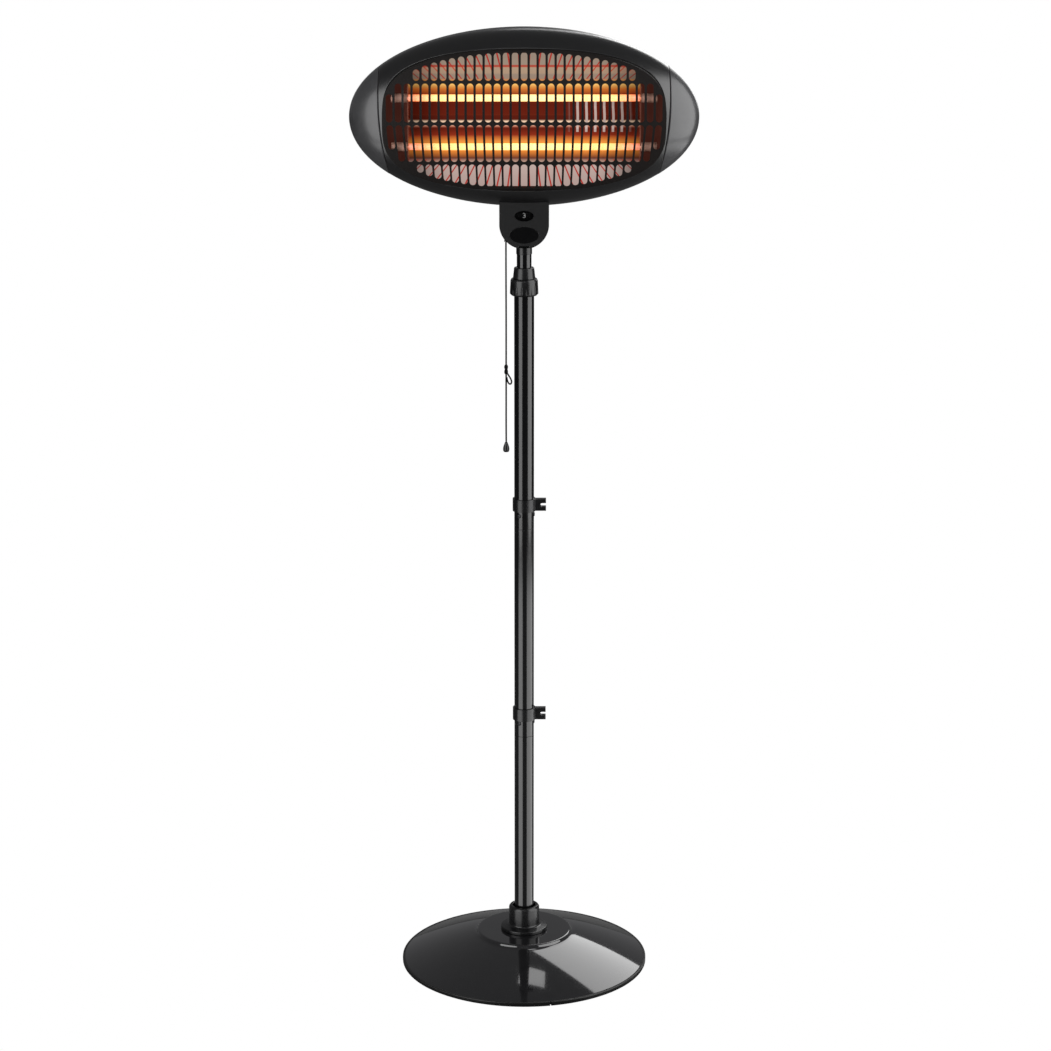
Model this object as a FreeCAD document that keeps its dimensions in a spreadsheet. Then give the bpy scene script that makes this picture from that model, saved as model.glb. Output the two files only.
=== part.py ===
import FreeCAD, Part
import math
import os
import re

import Sketcher

# Patio heater on a pole. Millimetres, +Z up, the front faces -Y,
# and the origin lies on the floor under the middle of the pole.

doc = FreeCAD.newDocument("patio_heater")
sizes = doc.addObject("Spreadsheet::Sheet", "sizes")

DRIVING_SIZES = {
    # Base
    "foot_height": 3.0,
    "foot_radius": 9.0,
    "foot_inset": 30.0,
    "base_radius": 230.0,
    "base_plate_thickness": 1.5,
    "trim_wall": 5.0,
    "trim_lip": 3.0,
    "trim_height": 8.0,
    "trim_floor_gap": 1.5,
    "trim_split_width": 2.0,
    "trim_split_offset": 49.0,
    "dome_sheet": 1.0,
    "dome_foot_width": 3.0,
    "dome_foot_height": 5.5,
    "dome_height": 57.0,
    "centre_plate_radius": 86.0,
    "centre_step_width": 6.0,
    "centre_step_height": 6.0,
    "dome_hole_radius": 12.0,
    "weight_edge_gap": 25.0,
    "weight_edge_height": 6.0,
    "weight_top_gap": 6.0,
    "weight_hole_radius": 60.0,
    # Socket at the foot of the pole
    "socket_plate_radius": 40.0,
    "socket_plate_thickness": 2.5,
    "spigot_wall": 2.0,
    "spigot_length": 85.0,
    "socket_screw_circle": 33.0,
    "socket_screw_radius": 3.0,
    "socket_screw_head_radius": 5.5,
    "socket_screw_head_height": 2.0,
    "socket_nut_height": 5.0,
    "socket_nut_radius": 5.8,
    "cover_flange_radius": 43.5,
    "cover_flange_height": 6.6,
    "cover_wall": 1.8,
    "cover_sleeve_radius": 28.5,
    "cover_sleeve_bore": 21.0,
    "cover_sleeve_top": 110.0,
    # Pole
    "pole_radius": 18.0,
    "pole_wall": 1.5,
    "lower_joint_height": 448.0,
    "upper_joint_height": 846.0,
    "pole_top_height": 1282.0,
    "sleeve_half_length": 40.0,
    "sleeve_wall": 2.0,
    "fit_clearance": 0.05,
    "pole_screw_rise": 26.0,
    "pole_screw_radius": 2.0,
    "pole_screw_head_radius": 4.0,
    "pole_screw_head_height": 1.6,
    # Cable clips
    "lower_clip_rise": 42.0,
    "upper_clip_rise": 44.5,
    "clip_ring_radius": 21.0,
    "clip_ring_height": 23.0,
    "clip_fork_reach": 40.0,
    "clip_fork_height": 22.0,
    "clip_fork_width": 12.0,
    "clip_slot_height": 7.0,
    "clip_slot_depth": 10.5,
    # Twist lock
    "collet_plug_length": 24.0,
    "collet_thread_radius": 19.5,
    "collet_flange_height": 2.0,
    "nut_radius": 25.7,
    "nut_shoulder_radius": 23.0,
    "nut_bottom_height": 1279.0,
    "nut_top_height": 1309.0,
    "nut_lip_height": 2.5,
    "nut_edge": 3.0,
    "nut_clearance": 0.3,
    "nut_rib_count": 18.0,
    "nut_groove_radius": 1.5,
    "cone_base_radius": 20.25,
    "cone_top_radius": 18.0,
    "cone_height": 20.0,
    "running_clearance": 0.1,
    # Mast
    "tube_radius": 13.25,
    "tube_wall": 1.2,
    "tube_bottom_height": 915.0,
    "tube_top_height": 1354.0,
    "bush_length": 40.0,
    "bush_lip": 5.0,
    "bush_clearance": 0.3,
    "neck_radius": 14.25,
    "neck_collar_height": 12.0,
    "neck_spigot_length": 24.0,
    "tongue_width": 19.0,
    "tongue_depth": 19.0,
    "tilt_axis_height": 1386.0,
    "tilt_bolt_radius": 4.0,
    "tilt_bolt_head_radius": 6.5,
    "tilt_bolt_head_height": 4.0,
    # Tilt bracket
    "bracket_sheet": 2.5,
    "bracket_gap": 0.5,
    "bracket_ear_radius": 12.0,
    "bracket_plate_offset": 14.0,
    "bracket_plate_width": 44.0,
    "bracket_plate_top": 1512.0,
    "bracket_plate_bottom": 1380.0,
    "bracket_screw_height": 1496.0,
    "bracket_screw_spread": 28.0,
    # Control box
    "box_half_width": 44.25,
    "box_centre_height": 1410.0,
    "box_top_height": 1452.0,
    "box_wall": 2.5,
    "box_front_depth": 34.0,
    "box_back_depth": 30.0,
    "notch_clearance": 0.6,
    "notch_top_height": 1373.5,
    "slot_back_reach": 22.0,
    "slot_top_height": 1374.0,
    "window_height": 1427.0,
    "window_half_width": 17.0,
    "window_half_height": 9.5,
    "lens_clearance": 0.1,
    "badge_height": 1393.0,
    "badge_half_width": 26.25,
    "badge_half_height": 14.8,
    "badge_thickness": 0.8,
    "box_screw_spread": 37.0,
    "box_screw_height": 1438.0,
    "box_boss_radius": 4.0,
    "box_screw_radius": 1.5,
    "box_screw_head_radius": 3.0,
    "box_screw_head_height": 2.0,
    "switch_left": -38.0,
    "switch_width": 25.0,
    "switch_front": -26.0,
    "switch_bottom": 1402.0,
    "switch_top": 1432.0,
    "drum_radius": 10.0,
    "drum_width": 24.0,
    "drum_shaft_radius": 2.0,
    "drum_shaft_length": 6.0,
    "drum_setback": 17.0,
    "tip_switch_width": 20.0,
    "tip_switch_height": 24.0,
    "tip_switch_depth": 14.0,
    "tip_switch_left": 17.0,
    "tip_switch_bottom": 1396.0,
    "gland_height": 1404.0,
    "gland_flange_radius": 11.0,
    "gland_body_radius": 8.0,
    "gland_bore_radius": 4.0,
    "gland_reach": 10.0,
    # Pull cord
    "cord_x": -32.5,
    "cord_y": -8.0,
    "slider_radius": 1.6,
    "slider_bottom": 1377.0,
    "slider_length": 36.0,
    "cord_bush_radius": 3.0,
    "cord_bush_length": 12.0,
    "cord_radius": 1.0,
    "cord_start_gap": 0.9,
    "knot_top": 1153.0,
    "knot_bottom": 1135.0,
    "knot_radius": 3.6,
    "knot_end_radius": 1.5,
    "knot_shoulder": 5.4,
    "loop_width": 11.0,
    "loop_drop": 18.0,
    "loop_turn": 60.0,
    "knob_top": 1009.0,
    "knob_bottom": 991.0,
    "knob_radius": 5.75,
    "knob_neck_radius": 2.6,
    "knob_neck_length": 1.8,
    "knob_foot_radius": 4.6,
    "knob_foot_rise": 3.6,
    "knob_belly_rise": 7.2,
    # Head
    "head_height": 1600.0,
    "head_half_width": 310.0,
    "head_half_height": 159.0,
    "head_rim_y": -5.0,
    "bezel_depth": 84.0,
    "bezel_wall": 2.0,
    "shell_depth": 45.0,
    "shell_wall": 1.5,
    "opening_half_width": 249.0,
    "opening_half_height": 125.0,
    "opening_width_power": 2.3,
    "opening_height_power": 3.2,
    "seam_radius": 680.0,
    "seam_reach": 256.5,
    "seam_rise": 53.0,
    "seam_gap": 0.5,
    "chassis_thickness": 1.2,
    "chassis_gap": 0.5,
    "boss_radius": 6.0,
    "head_screw_x": 180.0,
    "head_screw_z": 70.0,
    "head_screw_radius": 2.0,
    "head_screw_head_radius": 4.2,
    "head_screw_head_height": 3.0,
    "head_screw_seat": 18.0,
    "vent_count": 13.0,
    "vent_pitch": 22.0,
    "vent_width": 6.0,
    "vent_height": 34.0,
    "vent_rise": 72.0,
    # Heating elements and reflector
    "element_depth": 60.0,
    "upper_element_rise": 40.5,
    "lower_element_drop": 45.0,
    "quartz_radius": 6.0,
    "quartz_wall": 1.0,
    "quartz_half_length": 212.0,
    "coil_gap": 0.3,
    "coil_overlap": 4.0,
    "element_bracket_x": 203.0,
    "element_bracket_sheet": 1.5,
    "element_bracket_half_height": 86.0,
    "element_bracket_shoulder": 25.0,
    "element_bracket_nose": 66.0,
    "element_bracket_nose_half_height": 60.0,
    "element_hole_clearance": 0.4,
    "cap_radius": 8.0,
    "cap_length": 28.0,
    "reflector_sheet": 0.8,
    "reflector_edge_height": 117.0,
    "reflector_edge_depth": 42.0,
    "reflector_shoulder_height": 72.0,
    "reflector_shoulder_depth": 22.0,
    "reflector_trough_depth": 8.0,
    "reflector_foot_height": 20.0,
    "reflector_ridge_height": 7.5,
    "reflector_ridge_depth": 38.0,
    "terminal_width": 50.0,
    "terminal_depth": 14.0,
    "terminal_height": 20.0,
    # Grille
    "grille_bow_radius": 275.0,
    "grille_depth": 78.0,
    "grille_sheet": 1.2,
    "grille_clearance": 0.6,
    "grille_side_wall": 1.2,
    "grille_side_foot": 20.0,
    "slot_pitch": 15.7,
    "slot_width": 11.6,
    "slot_bar_height": 4.6,
    "slot_upper_bar_rise": 69.0,
    "slot_middle_bar_rise": -2.5,
    "slot_lower_bar_rise": -73.0,
    "slot_edge_margin": 6.0,
    "slot_lean": 5.7,
}

FOOT_COUNT = 6
SOCKET_SCREW_COUNT = 4
POLE_SCREW_ANGLES = (0, 120, 240)
SLOT_COLUMNS_EACH_SIDE = 15
OUTLINE_POINTS = 48
SHORTEST_SLOT_SHARE = 1.2
CUT_MARGIN = 1
FULL_TURN = 360

for row, (size_name, size_value) in enumerate(DRIVING_SIZES.items(), start=1):
    sizes.set(f"A{row}", size_name)
    sizes.set(f"B{row}", str(size_value))
    sizes.setAlias(f"B{row}", size_name)
doc.recompute()

nodes = []


# Expressions and placement

def of_sheet(text):
    def cell(word):
        name = word.group(0)
        return "sizes." + name if name in DRIVING_SIZES else name
    return re.sub(r"[a-z_]\w*", cell, str(text))


def number(text):
    return float(sizes.evalExpression(of_sheet(text)))


def bind(item, prop, text):
    item.setExpression(prop, of_sheet(text))


def place(item, at):
    for axis, text in zip("xyz", at):
        bind(item, f".Placement.Base.{axis}", text)


TURNS = {
    "X": FreeCAD.Rotation(FreeCAD.Vector(0, 1, 0), 90),
    "Y": FreeCAD.Rotation(FreeCAD.Vector(1, 0, 0), -90),
    "Z": FreeCAD.Rotation(),
}


# Solids that the sub-parts are made of

def cylinder(name, radius, length, at=("0", "0", "0"), along="Z"):
    piece = doc.addObject("Part::Cylinder", name)
    bind(piece, "Radius", radius)
    bind(piece, "Height", length)
    piece.Placement = FreeCAD.Placement(FreeCAD.Vector(), TURNS[along])
    place(piece, at)
    return piece


def box(name, size, at):
    piece = doc.addObject("Part::Box", name)
    for prop, text in zip(("Length", "Width", "Height"), size):
        bind(piece, prop, text)
    place(piece, at)
    return piece


def ellipsoid(name, half_width, half_depth, half_height, at):
    piece = doc.addObject("Part::Ellipsoid", name)
    bind(piece, "Radius1", half_height)
    bind(piece, "Radius2", half_width)
    bind(piece, "Radius3", half_depth)
    place(piece, at)
    return piece


def compound(name, pieces):
    group = doc.addObject("Part::Compound", name)
    group.Links = pieces
    return group


def cut(name, base, tools):
    result = doc.addObject("Part::Cut", name)
    result.Base = base
    result.Tool = tools[0] if len(tools) == 1 else compound(name + "_tools", tools)
    return result


def fuse(name, pieces):
    result = doc.addObject("Part::MultiFuse", name)
    result.Shapes = pieces
    return result


def common(name, pieces):
    result = doc.addObject("Part::MultiCommon", name)
    result.Shapes = pieces
    return result


def tube(name, outer, inner, length, at=("0", "0", "0"), along="Z"):
    outside = cylinder(name + "_outside", outer, length, at, along)
    inside = cylinder(name + "_inside", inner, length, at, along)
    return cut(name, outside, [inside])


def origin_plane(body, role):
    return next(plane for plane in body.Origin.OriginFeatures if plane.Role == role)


def arc_between(start, end, radius):
    """Arc that bulges to the left of the way from start to end."""
    chord = end - start
    middle = (start + end) * 0.5
    left = FreeCAD.Vector(-chord.y, chord.x, 0).normalize()
    sagitta = radius - math.sqrt(radius ** 2 - (chord.Length / 2) ** 2)
    return Part.Arc(end, middle + left * sagitta, start)


def profile(body, name, plane, corners, arcs):
    """Closed outline whose corners, and arc radii, follow the sheet."""
    sketch = body.newObject("Sketcher::SketchObject", name)
    sketch.AttachmentSupport = [(origin_plane(body, plane), "")]
    sketch.MapMode = "FlatFace"
    points = [FreeCAD.Vector(number(x), number(y), 0) for x, y in corners]
    count = len(points)
    start_of = {}
    end_of = {}
    for index, start in enumerate(points):
        end = points[(index + 1) % count]
        if index in arcs:
            sketch.addGeometry(arc_between(start, end, number(arcs[index])), False)
            start_of[index], end_of[index] = 2, 1
        else:
            sketch.addGeometry(Part.LineSegment(start, end), False)
            start_of[index], end_of[index] = 1, 2
    for index in range(count):
        following = (index + 1) % count
        joint = Sketcher.Constraint("Coincident", index, end_of[index], following, start_of[following])
        sketch.addConstraint(joint)
    for index, (x, y) in enumerate(corners):
        for kind, text, value in (("DistanceX", x, points[index].x), ("DistanceY", y, points[index].y)):
            place_mark = Sketcher.Constraint(kind, -1, 1, index, start_of[index], value)
            mark = sketch.addConstraint(place_mark)
            bind(sketch, f"Constraints[{mark}]", text)
    for index, text in arcs.items():
        mark = sketch.addConstraint(Sketcher.Constraint("Radius", index, number(text)))
        bind(sketch, f"Constraints[{mark}]", text)
    return sketch


def turned(name, corners, arcs=None):
    """Solid of revolution about the pole axis, from corners (radius, height)."""
    body = doc.addObject("PartDesign::Body", name)
    section = profile(body, name + "_section", "XZ_Plane", corners, arcs or {})
    turn = body.newObject("PartDesign::Revolution", name + "_turn")
    turn.Profile = section
    turn.ReferenceAxis = (section, ["V_Axis"])
    turn.Angle = FULL_TURN
    return body


def pad(name, plane, corners, length, back=False, arcs=None):
    """Prism on an origin plane: XZ grows to the front, or to the back."""
    body = doc.addObject("PartDesign::Body", name)
    section = profile(body, name + "_section", plane, corners, arcs or {})
    growth = body.newObject("PartDesign::Pad", name + "_pad")
    growth.Profile = section
    growth.Reversed = back
    bind(growth, "Length", length)
    return body


def oval(name, half_width, half_height, length, at):
    """Oval plate in the XZ plane, from at towards the back."""
    outline = doc.addObject("Part::Ellipse", name + "_outline")
    bind(outline, "MajorRadius", half_width)
    bind(outline, "MinorRadius", half_height)
    outline.Placement = FreeCAD.Placement(FreeCAD.Vector(), TURNS["Y"])
    place(outline, at)
    plate = doc.addObject("Part::Extrusion", name)
    plate.Base = outline
    plate.DirMode = "Custom"
    plate.Dir = FreeCAD.Vector(0, 1, 0)
    bind(plate, "LengthFwd", length)
    plate.Solid = True
    return plate


def node(label, piece):
    piece.Label = label
    nodes.append(piece)
    return piece


def on_circle(radius, angle):
    turn = math.radians(angle)
    return f"({radius}) * {math.cos(turn):.9f}", f"({radius}) * {math.sin(turn):.9f}"


# Base: six feet, bottom plate, weight, edge trim and dome

plate_top = "foot_height + base_plate_thickness"
plate_radius = "base_radius - trim_wall"

feet = []
for foot in range(FOOT_COUNT):
    foot_x, foot_y = on_circle("base_radius - foot_inset", foot * FULL_TURN / FOOT_COUNT)
    feet.append(cylinder(f"foot_{foot}", "foot_radius", "foot_height", (foot_x, foot_y, "0")))
node("base_feet", compound("feet", feet))

node("base_bottom_plate", cylinder("bottom_plate", plate_radius, "base_plate_thickness",
                                   ("0", "0", "foot_height")))

centre_top = "dome_height + centre_step_height"
weight_top = "dome_height - dome_sheet - weight_top_gap"
node("base_weight", turned("weight", [
    ("weight_hole_radius", plate_top),
    ("base_radius - weight_edge_gap", plate_top),
    ("base_radius - weight_edge_gap", f"{plate_top} + weight_edge_height"),
    ("centre_plate_radius + centre_step_width", weight_top),
    ("weight_hole_radius", weight_top),
]))

flange_top = f"{plate_top} + dome_sheet"
dome_edge = "base_radius - trim_wall - trim_lip"
dome_foot = f"{dome_edge} - dome_foot_width"
dome_foot_top = f"{flange_top} + dome_foot_height"
step_radius = "centre_plate_radius + centre_step_width"
dome_raw = turned("dome_sheet_metal", [
    (plate_radius, plate_top),
    (plate_radius, flange_top),
    (dome_edge, flange_top),
    (dome_foot, dome_foot_top),
    (step_radius, "dome_height"),
    ("centre_plate_radius", centre_top),
    ("dome_hole_radius", centre_top),
    ("dome_hole_radius", f"{centre_top} - dome_sheet"),
    ("centre_plate_radius - dome_sheet / 2", f"{centre_top} - dome_sheet"),
    (f"{step_radius} - dome_sheet / 2", "dome_height - dome_sheet"),
    (f"{dome_foot} - dome_sheet", f"{dome_foot_top} - dome_sheet"),
    (f"{dome_edge} - dome_sheet", plate_top),
])

trim_top = "trim_floor_gap + trim_height"
trim_ring = turned("trim_ring", [
    (f"{plate_radius} - trim_lip", "trim_floor_gap"),
    ("base_radius", "trim_floor_gap"),
    ("base_radius", trim_top),
    (dome_edge, trim_top),
    (dome_edge, flange_top),
    (plate_radius, flange_top),
    (plate_radius, "foot_height"),
    (f"{plate_radius} - trim_lip", "foot_height"),
])
trim_split = box(
    "trim_split",
    ("trim_split_width", "base_radius", "trim_height"),
    ("trim_split_offset", "-base_radius", "trim_floor_gap"),
)
node("base_edge_trim", cut("trim", trim_ring, [trim_split]))

# Socket: plate with spigot, its screws and nuts, and the cover round it

socket_seat = f"{centre_top} + socket_plate_thickness"
pole_bore = "pole_radius - pole_wall"
spigot_radius = f"{pole_bore} - fit_clearance"

screw_places = []
for screw in range(SOCKET_SCREW_COUNT):
    angle = (screw + 0.5) * FULL_TURN / SOCKET_SCREW_COUNT
    screw_places.append(on_circle("socket_screw_circle", angle))


def socket_holes(name):
    return [
        cylinder(f"{name}_{index}", "socket_screw_radius + fit_clearance",
                 "socket_plate_thickness + dome_sheet", (x, y, f"{centre_top} - dome_sheet"))
        for index, (x, y) in enumerate(screw_places)
    ]


node("base_cover", cut("dome", dome_raw, socket_holes("dome_hole")))

socket_raw = turned("socket_blank", [
    (f"{spigot_radius} - spigot_wall", centre_top),
    ("socket_plate_radius", centre_top),
    ("socket_plate_radius", socket_seat),
    (spigot_radius, socket_seat),
    (spigot_radius, f"{socket_seat} + spigot_length"),
    (f"{spigot_radius} - spigot_wall", f"{socket_seat} + spigot_length"),
])
node("pole_socket", cut("socket", socket_raw, socket_holes("socket_hole")))

screws = []
nuts = []
nut_top = f"{centre_top} - dome_sheet"
for index, (x, y) in enumerate(screw_places):
    head = cylinder(f"socket_head_{index}", "socket_screw_head_radius", "socket_screw_head_height",
                    (x, y, socket_seat))
    shank_length = "socket_plate_thickness + dome_sheet + socket_nut_height"
    shank = cylinder(f"socket_shank_{index}", "socket_screw_radius", shank_length,
                     (x, y, f"{nut_top} - socket_nut_height"))
    screws.append(fuse(f"socket_screw_{index}", [head, shank]))
    blank = doc.addObject("Part::Prism", f"socket_nut_blank_{index}")
    bind(blank, "Circumradius", "socket_nut_radius")
    bind(blank, "Height", "socket_nut_height")
    place(blank, (x, y, f"{nut_top} - socket_nut_height"))
    thread = cylinder(f"socket_nut_thread_{index}", "socket_screw_radius + fit_clearance",
                      "socket_nut_height", (x, y, f"{nut_top} - socket_nut_height"))
    nuts.append(cut(f"socket_nut_{index}", blank, [thread]))
node("socket_screws", compound("socket_screw_set", screws))
node("socket_nuts", compound("socket_nut_set", nuts))

cover_top = f"{centre_top} + cover_flange_height"
node("socket_cover", turned("cover", [
    ("cover_flange_radius - cover_wall", centre_top),
    ("cover_flange_radius", centre_top),
    ("cover_flange_radius", f"{cover_top} - cover_wall"),
    ("cover_flange_radius - cover_wall", cover_top),
    ("cover_sleeve_radius", cover_top),
    ("cover_sleeve_radius", "cover_sleeve_top"),
    ("cover_sleeve_bore", "cover_sleeve_top"),
    ("cover_sleeve_bore", f"{cover_top} - cover_wall"),
    ("cover_flange_radius - cover_wall", f"{cover_top} - cover_wall"),
]))

# Pole sections, connector sleeves and their screws


def pole_screw_holes(name, joint):
    height = f"{joint} + pole_screw_rise"
    holes = []
    for angle in POLE_SCREW_ANGLES:
        hole = cylinder(f"{name}_{angle}", "pole_screw_radius + fit_clearance", "pole_radius * 2",
                        ("0", "0", height))
        aim = FreeCAD.Rotation(FreeCAD.Vector(0, 0, 1), angle).multiply(TURNS["X"])
        hole.Placement.Rotation = aim
        holes.append(hole)
    return holes


def pole_section(label, bottom, top, screw_joint=None):
    blank = tube(label + "_tube", "pole_radius", pole_bore, f"({top}) - ({bottom})", ("0", "0", bottom))
    if screw_joint is None:
        return node(label, blank)
    return node(label, cut(label + "_drilled", blank, pole_screw_holes(label + "_hole", screw_joint)))


pole_section("lower_pole", socket_seat, "lower_joint_height")
pole_section("middle_pole", "lower_joint_height", "upper_joint_height", "lower_joint_height")
pole_section("upper_pole", "upper_joint_height", "pole_top_height", "upper_joint_height")

screws = []
for label, joint in (("lower_pole_sleeve", "lower_joint_height"),
                     ("upper_pole_sleeve", "upper_joint_height")):
    sleeve = tube(label + "_tube", spigot_radius, f"{spigot_radius} - sleeve_wall", "sleeve_half_length * 2",
                  ("0", "0", f"{joint} - sleeve_half_length"))
    node(label, cut(label + "_drilled", sleeve, pole_screw_holes(label + "_hole", joint)))
    for angle in POLE_SCREW_ANGLES:
        aim = FreeCAD.Rotation(FreeCAD.Vector(0, 0, 1), angle).multiply(TURNS["X"])
        inner_end = f"{spigot_radius} - sleeve_wall"
        height = f"{joint} + pole_screw_rise"
        start_x, start_y = on_circle(inner_end, angle)
        shank = cylinder(f"{label}_shank_{angle}", "pole_screw_radius",
                         f"pole_radius - ({inner_end}) + pole_screw_head_height / 2",
                         (start_x, start_y, height))
        head_x, head_y = on_circle("pole_radius", angle)
        head = cylinder(f"{label}_head_{angle}", "pole_screw_head_radius", "pole_screw_head_height",
                        (head_x, head_y, height))
        shank.Placement.Rotation = aim
        head.Placement.Rotation = aim
        screws.append(fuse(f"{label}_screw_{angle}", [head, shank]))
node("pole_screws", compound("pole_screw_set", screws))

# Cable clips: a ring on the pole with a fork that opens to +X

for label, height in (("lower_cable_clip", "lower_joint_height + lower_clip_rise"),
                      ("upper_cable_clip", "upper_joint_height + upper_clip_rise")):
    ring = cylinder(label + "_ring", "clip_ring_radius", "clip_ring_height",
                    ("0", "0", f"{height} - clip_ring_height / 2"))
    fork = box(label + "_fork", ("clip_fork_reach", "clip_fork_width", "clip_fork_height"),
               ("0", "-clip_fork_width / 2", f"{height} - clip_fork_height / 2"))
    bore = cylinder(label + "_bore", "pole_radius + fit_clearance", "clip_ring_height",
                    ("0", "0", f"{height} - clip_ring_height / 2"))
    slot_round = cylinder(label + "_slot_round", "clip_slot_height / 2", "clip_fork_width",
                          ("clip_fork_reach - clip_slot_depth + clip_slot_height / 2",
                           "-clip_fork_width / 2", height), "Y")
    slot_mouth = box(label + "_slot_mouth",
                     ("clip_slot_depth - clip_slot_height / 2", "clip_fork_width", "clip_slot_height"),
                     ("clip_fork_reach - clip_slot_depth + clip_slot_height / 2", "-clip_fork_width / 2",
                      f"{height} - clip_slot_height / 2"))
    blank = fuse(label + "_blank", [ring, fork])
    node(label, cut(label + "_piece", blank, [fuse(label + "_slot", [slot_round, slot_mouth]), bore]))

# Twist lock: collet in the pole's end, cone on top, ribbed nut round it

cone_seat = "nut_top_height + nut_clearance"
collet_bore = "tube_radius + running_clearance"
thread_bottom = "pole_top_height + collet_flange_height"
node("lock_collet", turned("collet", [
    (collet_bore, "pole_top_height - collet_plug_length"),
    (f"{pole_bore} - fit_clearance", "pole_top_height - collet_plug_length"),
    (f"{pole_bore} - fit_clearance", "pole_top_height"),
    ("pole_radius", "pole_top_height"),
    ("pole_radius", thread_bottom),
    ("collet_thread_radius", thread_bottom),
    ("collet_thread_radius", cone_seat),
    (collet_bore, cone_seat),
]))

node("lock_cone", turned("cone", [
    (collet_bore, cone_seat),
    ("cone_base_radius", cone_seat),
    ("cone_top_radius", f"{cone_seat} + cone_height"),
    (collet_bore, f"{cone_seat} + cone_height"),
]))

nut_bore = "collet_thread_radius + nut_clearance"
nut_lip_bore = "pole_radius + nut_clearance"
nut_blank = turned("nut_blank", [
    (nut_lip_bore, "nut_bottom_height"),
    ("nut_radius - nut_edge", "nut_bottom_height"),
    ("nut_radius", "nut_bottom_height + nut_edge"),
    ("nut_shoulder_radius + nut_edge / 2", "nut_top_height - nut_edge"),
    ("nut_shoulder_radius", "nut_top_height"),
    (nut_bore, "nut_top_height"),
    (nut_bore, "nut_bottom_height + nut_lip_height"),
    (nut_lip_bore, "nut_bottom_height + nut_lip_height"),
])
grooves = []
for groove in range(int(number("nut_rib_count"))):
    groove_x, groove_y = on_circle("nut_radius + nut_groove_radius / 2",
                                   groove * FULL_TURN / number("nut_rib_count"))
    grooves.append(cylinder(f"nut_groove_{groove}", "nut_groove_radius", "nut_top_height - nut_bottom_height",
                            (groove_x, groove_y, "nut_bottom_height")))
node("locking_nut", cut("nut", nut_blank, grooves))

# Mast: guide bush, inner tube and the neck with its tilt tongue

bush_bottom = "tube_bottom_height - bush_lip"
bush_radius = f"{pole_bore} - bush_clearance"
node("guide_bush", turned("bush", [
    ("tube_radius - tube_wall", bush_bottom),
    (bush_radius, bush_bottom),
    (bush_radius, f"{bush_bottom} + bush_length"),
    ("tube_radius + running_clearance", f"{bush_bottom} + bush_length"),
    ("tube_radius + running_clearance", "tube_bottom_height"),
    ("tube_radius - tube_wall", "tube_bottom_height"),
]))

node("inner_tube", tube("mast_tube", "tube_radius", "tube_radius - tube_wall",
                        "tube_top_height - tube_bottom_height", ("0", "0", "tube_bottom_height")))

collar_top = "tube_top_height + neck_collar_height"
neck_spigot = cylinder("neck_spigot", "tube_radius - tube_wall - fit_clearance",
                       "neck_spigot_length + neck_collar_height / 2",
                       ("0", "0", "tube_top_height - neck_spigot_length"))
neck_collar = cylinder("neck_collar", "neck_radius", "neck_collar_height", ("0", "0", "tube_top_height"))
tongue = box("tongue",
             ("tongue_width", "tongue_depth", f"tilt_axis_height - ({collar_top}) + neck_collar_height / 2"),
             ("-tongue_width / 2", "-tongue_depth / 2", f"{collar_top} - neck_collar_height / 2"))
tongue_end = cylinder("tongue_end", "tongue_depth / 2", "tongue_width",
                      ("-tongue_width / 2", "0", "tilt_axis_height"), "X")
tongue_bore = cylinder("tongue_bore", "tilt_bolt_radius + running_clearance", "tongue_width",
                       ("-tongue_width / 2", "0", "tilt_axis_height"), "X")
neck_blank = fuse("neck_blank", [neck_spigot, neck_collar, tongue, tongue_end])
node("neck_adapter", cut("neck", neck_blank, [tongue_bore]))

# Tilt bracket: a steel fork round the tongue, screwed to the head

ear_inner = "tongue_width / 2 + bracket_gap"
ears = []
for side, start in (("left", f"-({ear_inner}) - bracket_sheet"), ("right", ear_inner)):
    disc = cylinder(f"{side}_ear_disc", "bracket_ear_radius", "bracket_sheet",
                    (start, "0", "tilt_axis_height"), "X")
    web = box(f"{side}_ear_web",
              ("bracket_sheet", "bracket_plate_offset + bracket_sheet", "bracket_ear_radius * 2"),
              (start, "0", "tilt_axis_height - bracket_ear_radius"))
    ears += [disc, web]
bracket_plate = box("bracket_plate",
                    ("bracket_plate_width", "bracket_sheet", "bracket_plate_top - bracket_plate_bottom"),
                    ("-bracket_plate_width / 2", "bracket_plate_offset", "bracket_plate_bottom"))
bolt_half = f"{ear_inner} + bracket_sheet"
bracket_holes = [cylinder("bracket_bolt_hole", "tilt_bolt_radius + fit_clearance", f"({bolt_half}) * 2",
                          (f"-({bolt_half})", "0", "tilt_axis_height"), "X")]
bracket_screws = []
for side in (-1, 1):
    screw_x = f"{side} * bracket_screw_spread / 2"
    bracket_holes.append(cylinder(f"bracket_hole_{side + 1}", "head_screw_radius + fit_clearance",
                                  "bracket_sheet",
                                  (screw_x, "bracket_plate_offset", "bracket_screw_height"), "Y"))
    screw_head = cylinder(f"bracket_screw_head_{side + 1}", "head_screw_head_radius",
                          "head_screw_head_height",
                          (screw_x, "bracket_plate_offset - head_screw_head_height", "bracket_screw_height"),
                          "Y")
    screw_shank = cylinder(f"bracket_screw_shank_{side + 1}", "head_screw_radius",
                           "bracket_sheet + head_screw_head_height",
                           (screw_x, "bracket_plate_offset - head_screw_head_height / 2",
                            "bracket_screw_height"), "Y")
    bracket_screws.append(fuse(f"bracket_screw_{side + 1}", [screw_head, screw_shank]))
bracket_blank = fuse("bracket_blank", ears + [bracket_plate])
node("tilt_bracket", cut("bracket", bracket_blank, bracket_holes))
node("bracket_screws", compound("bracket_screw_set", bracket_screws))

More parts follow.
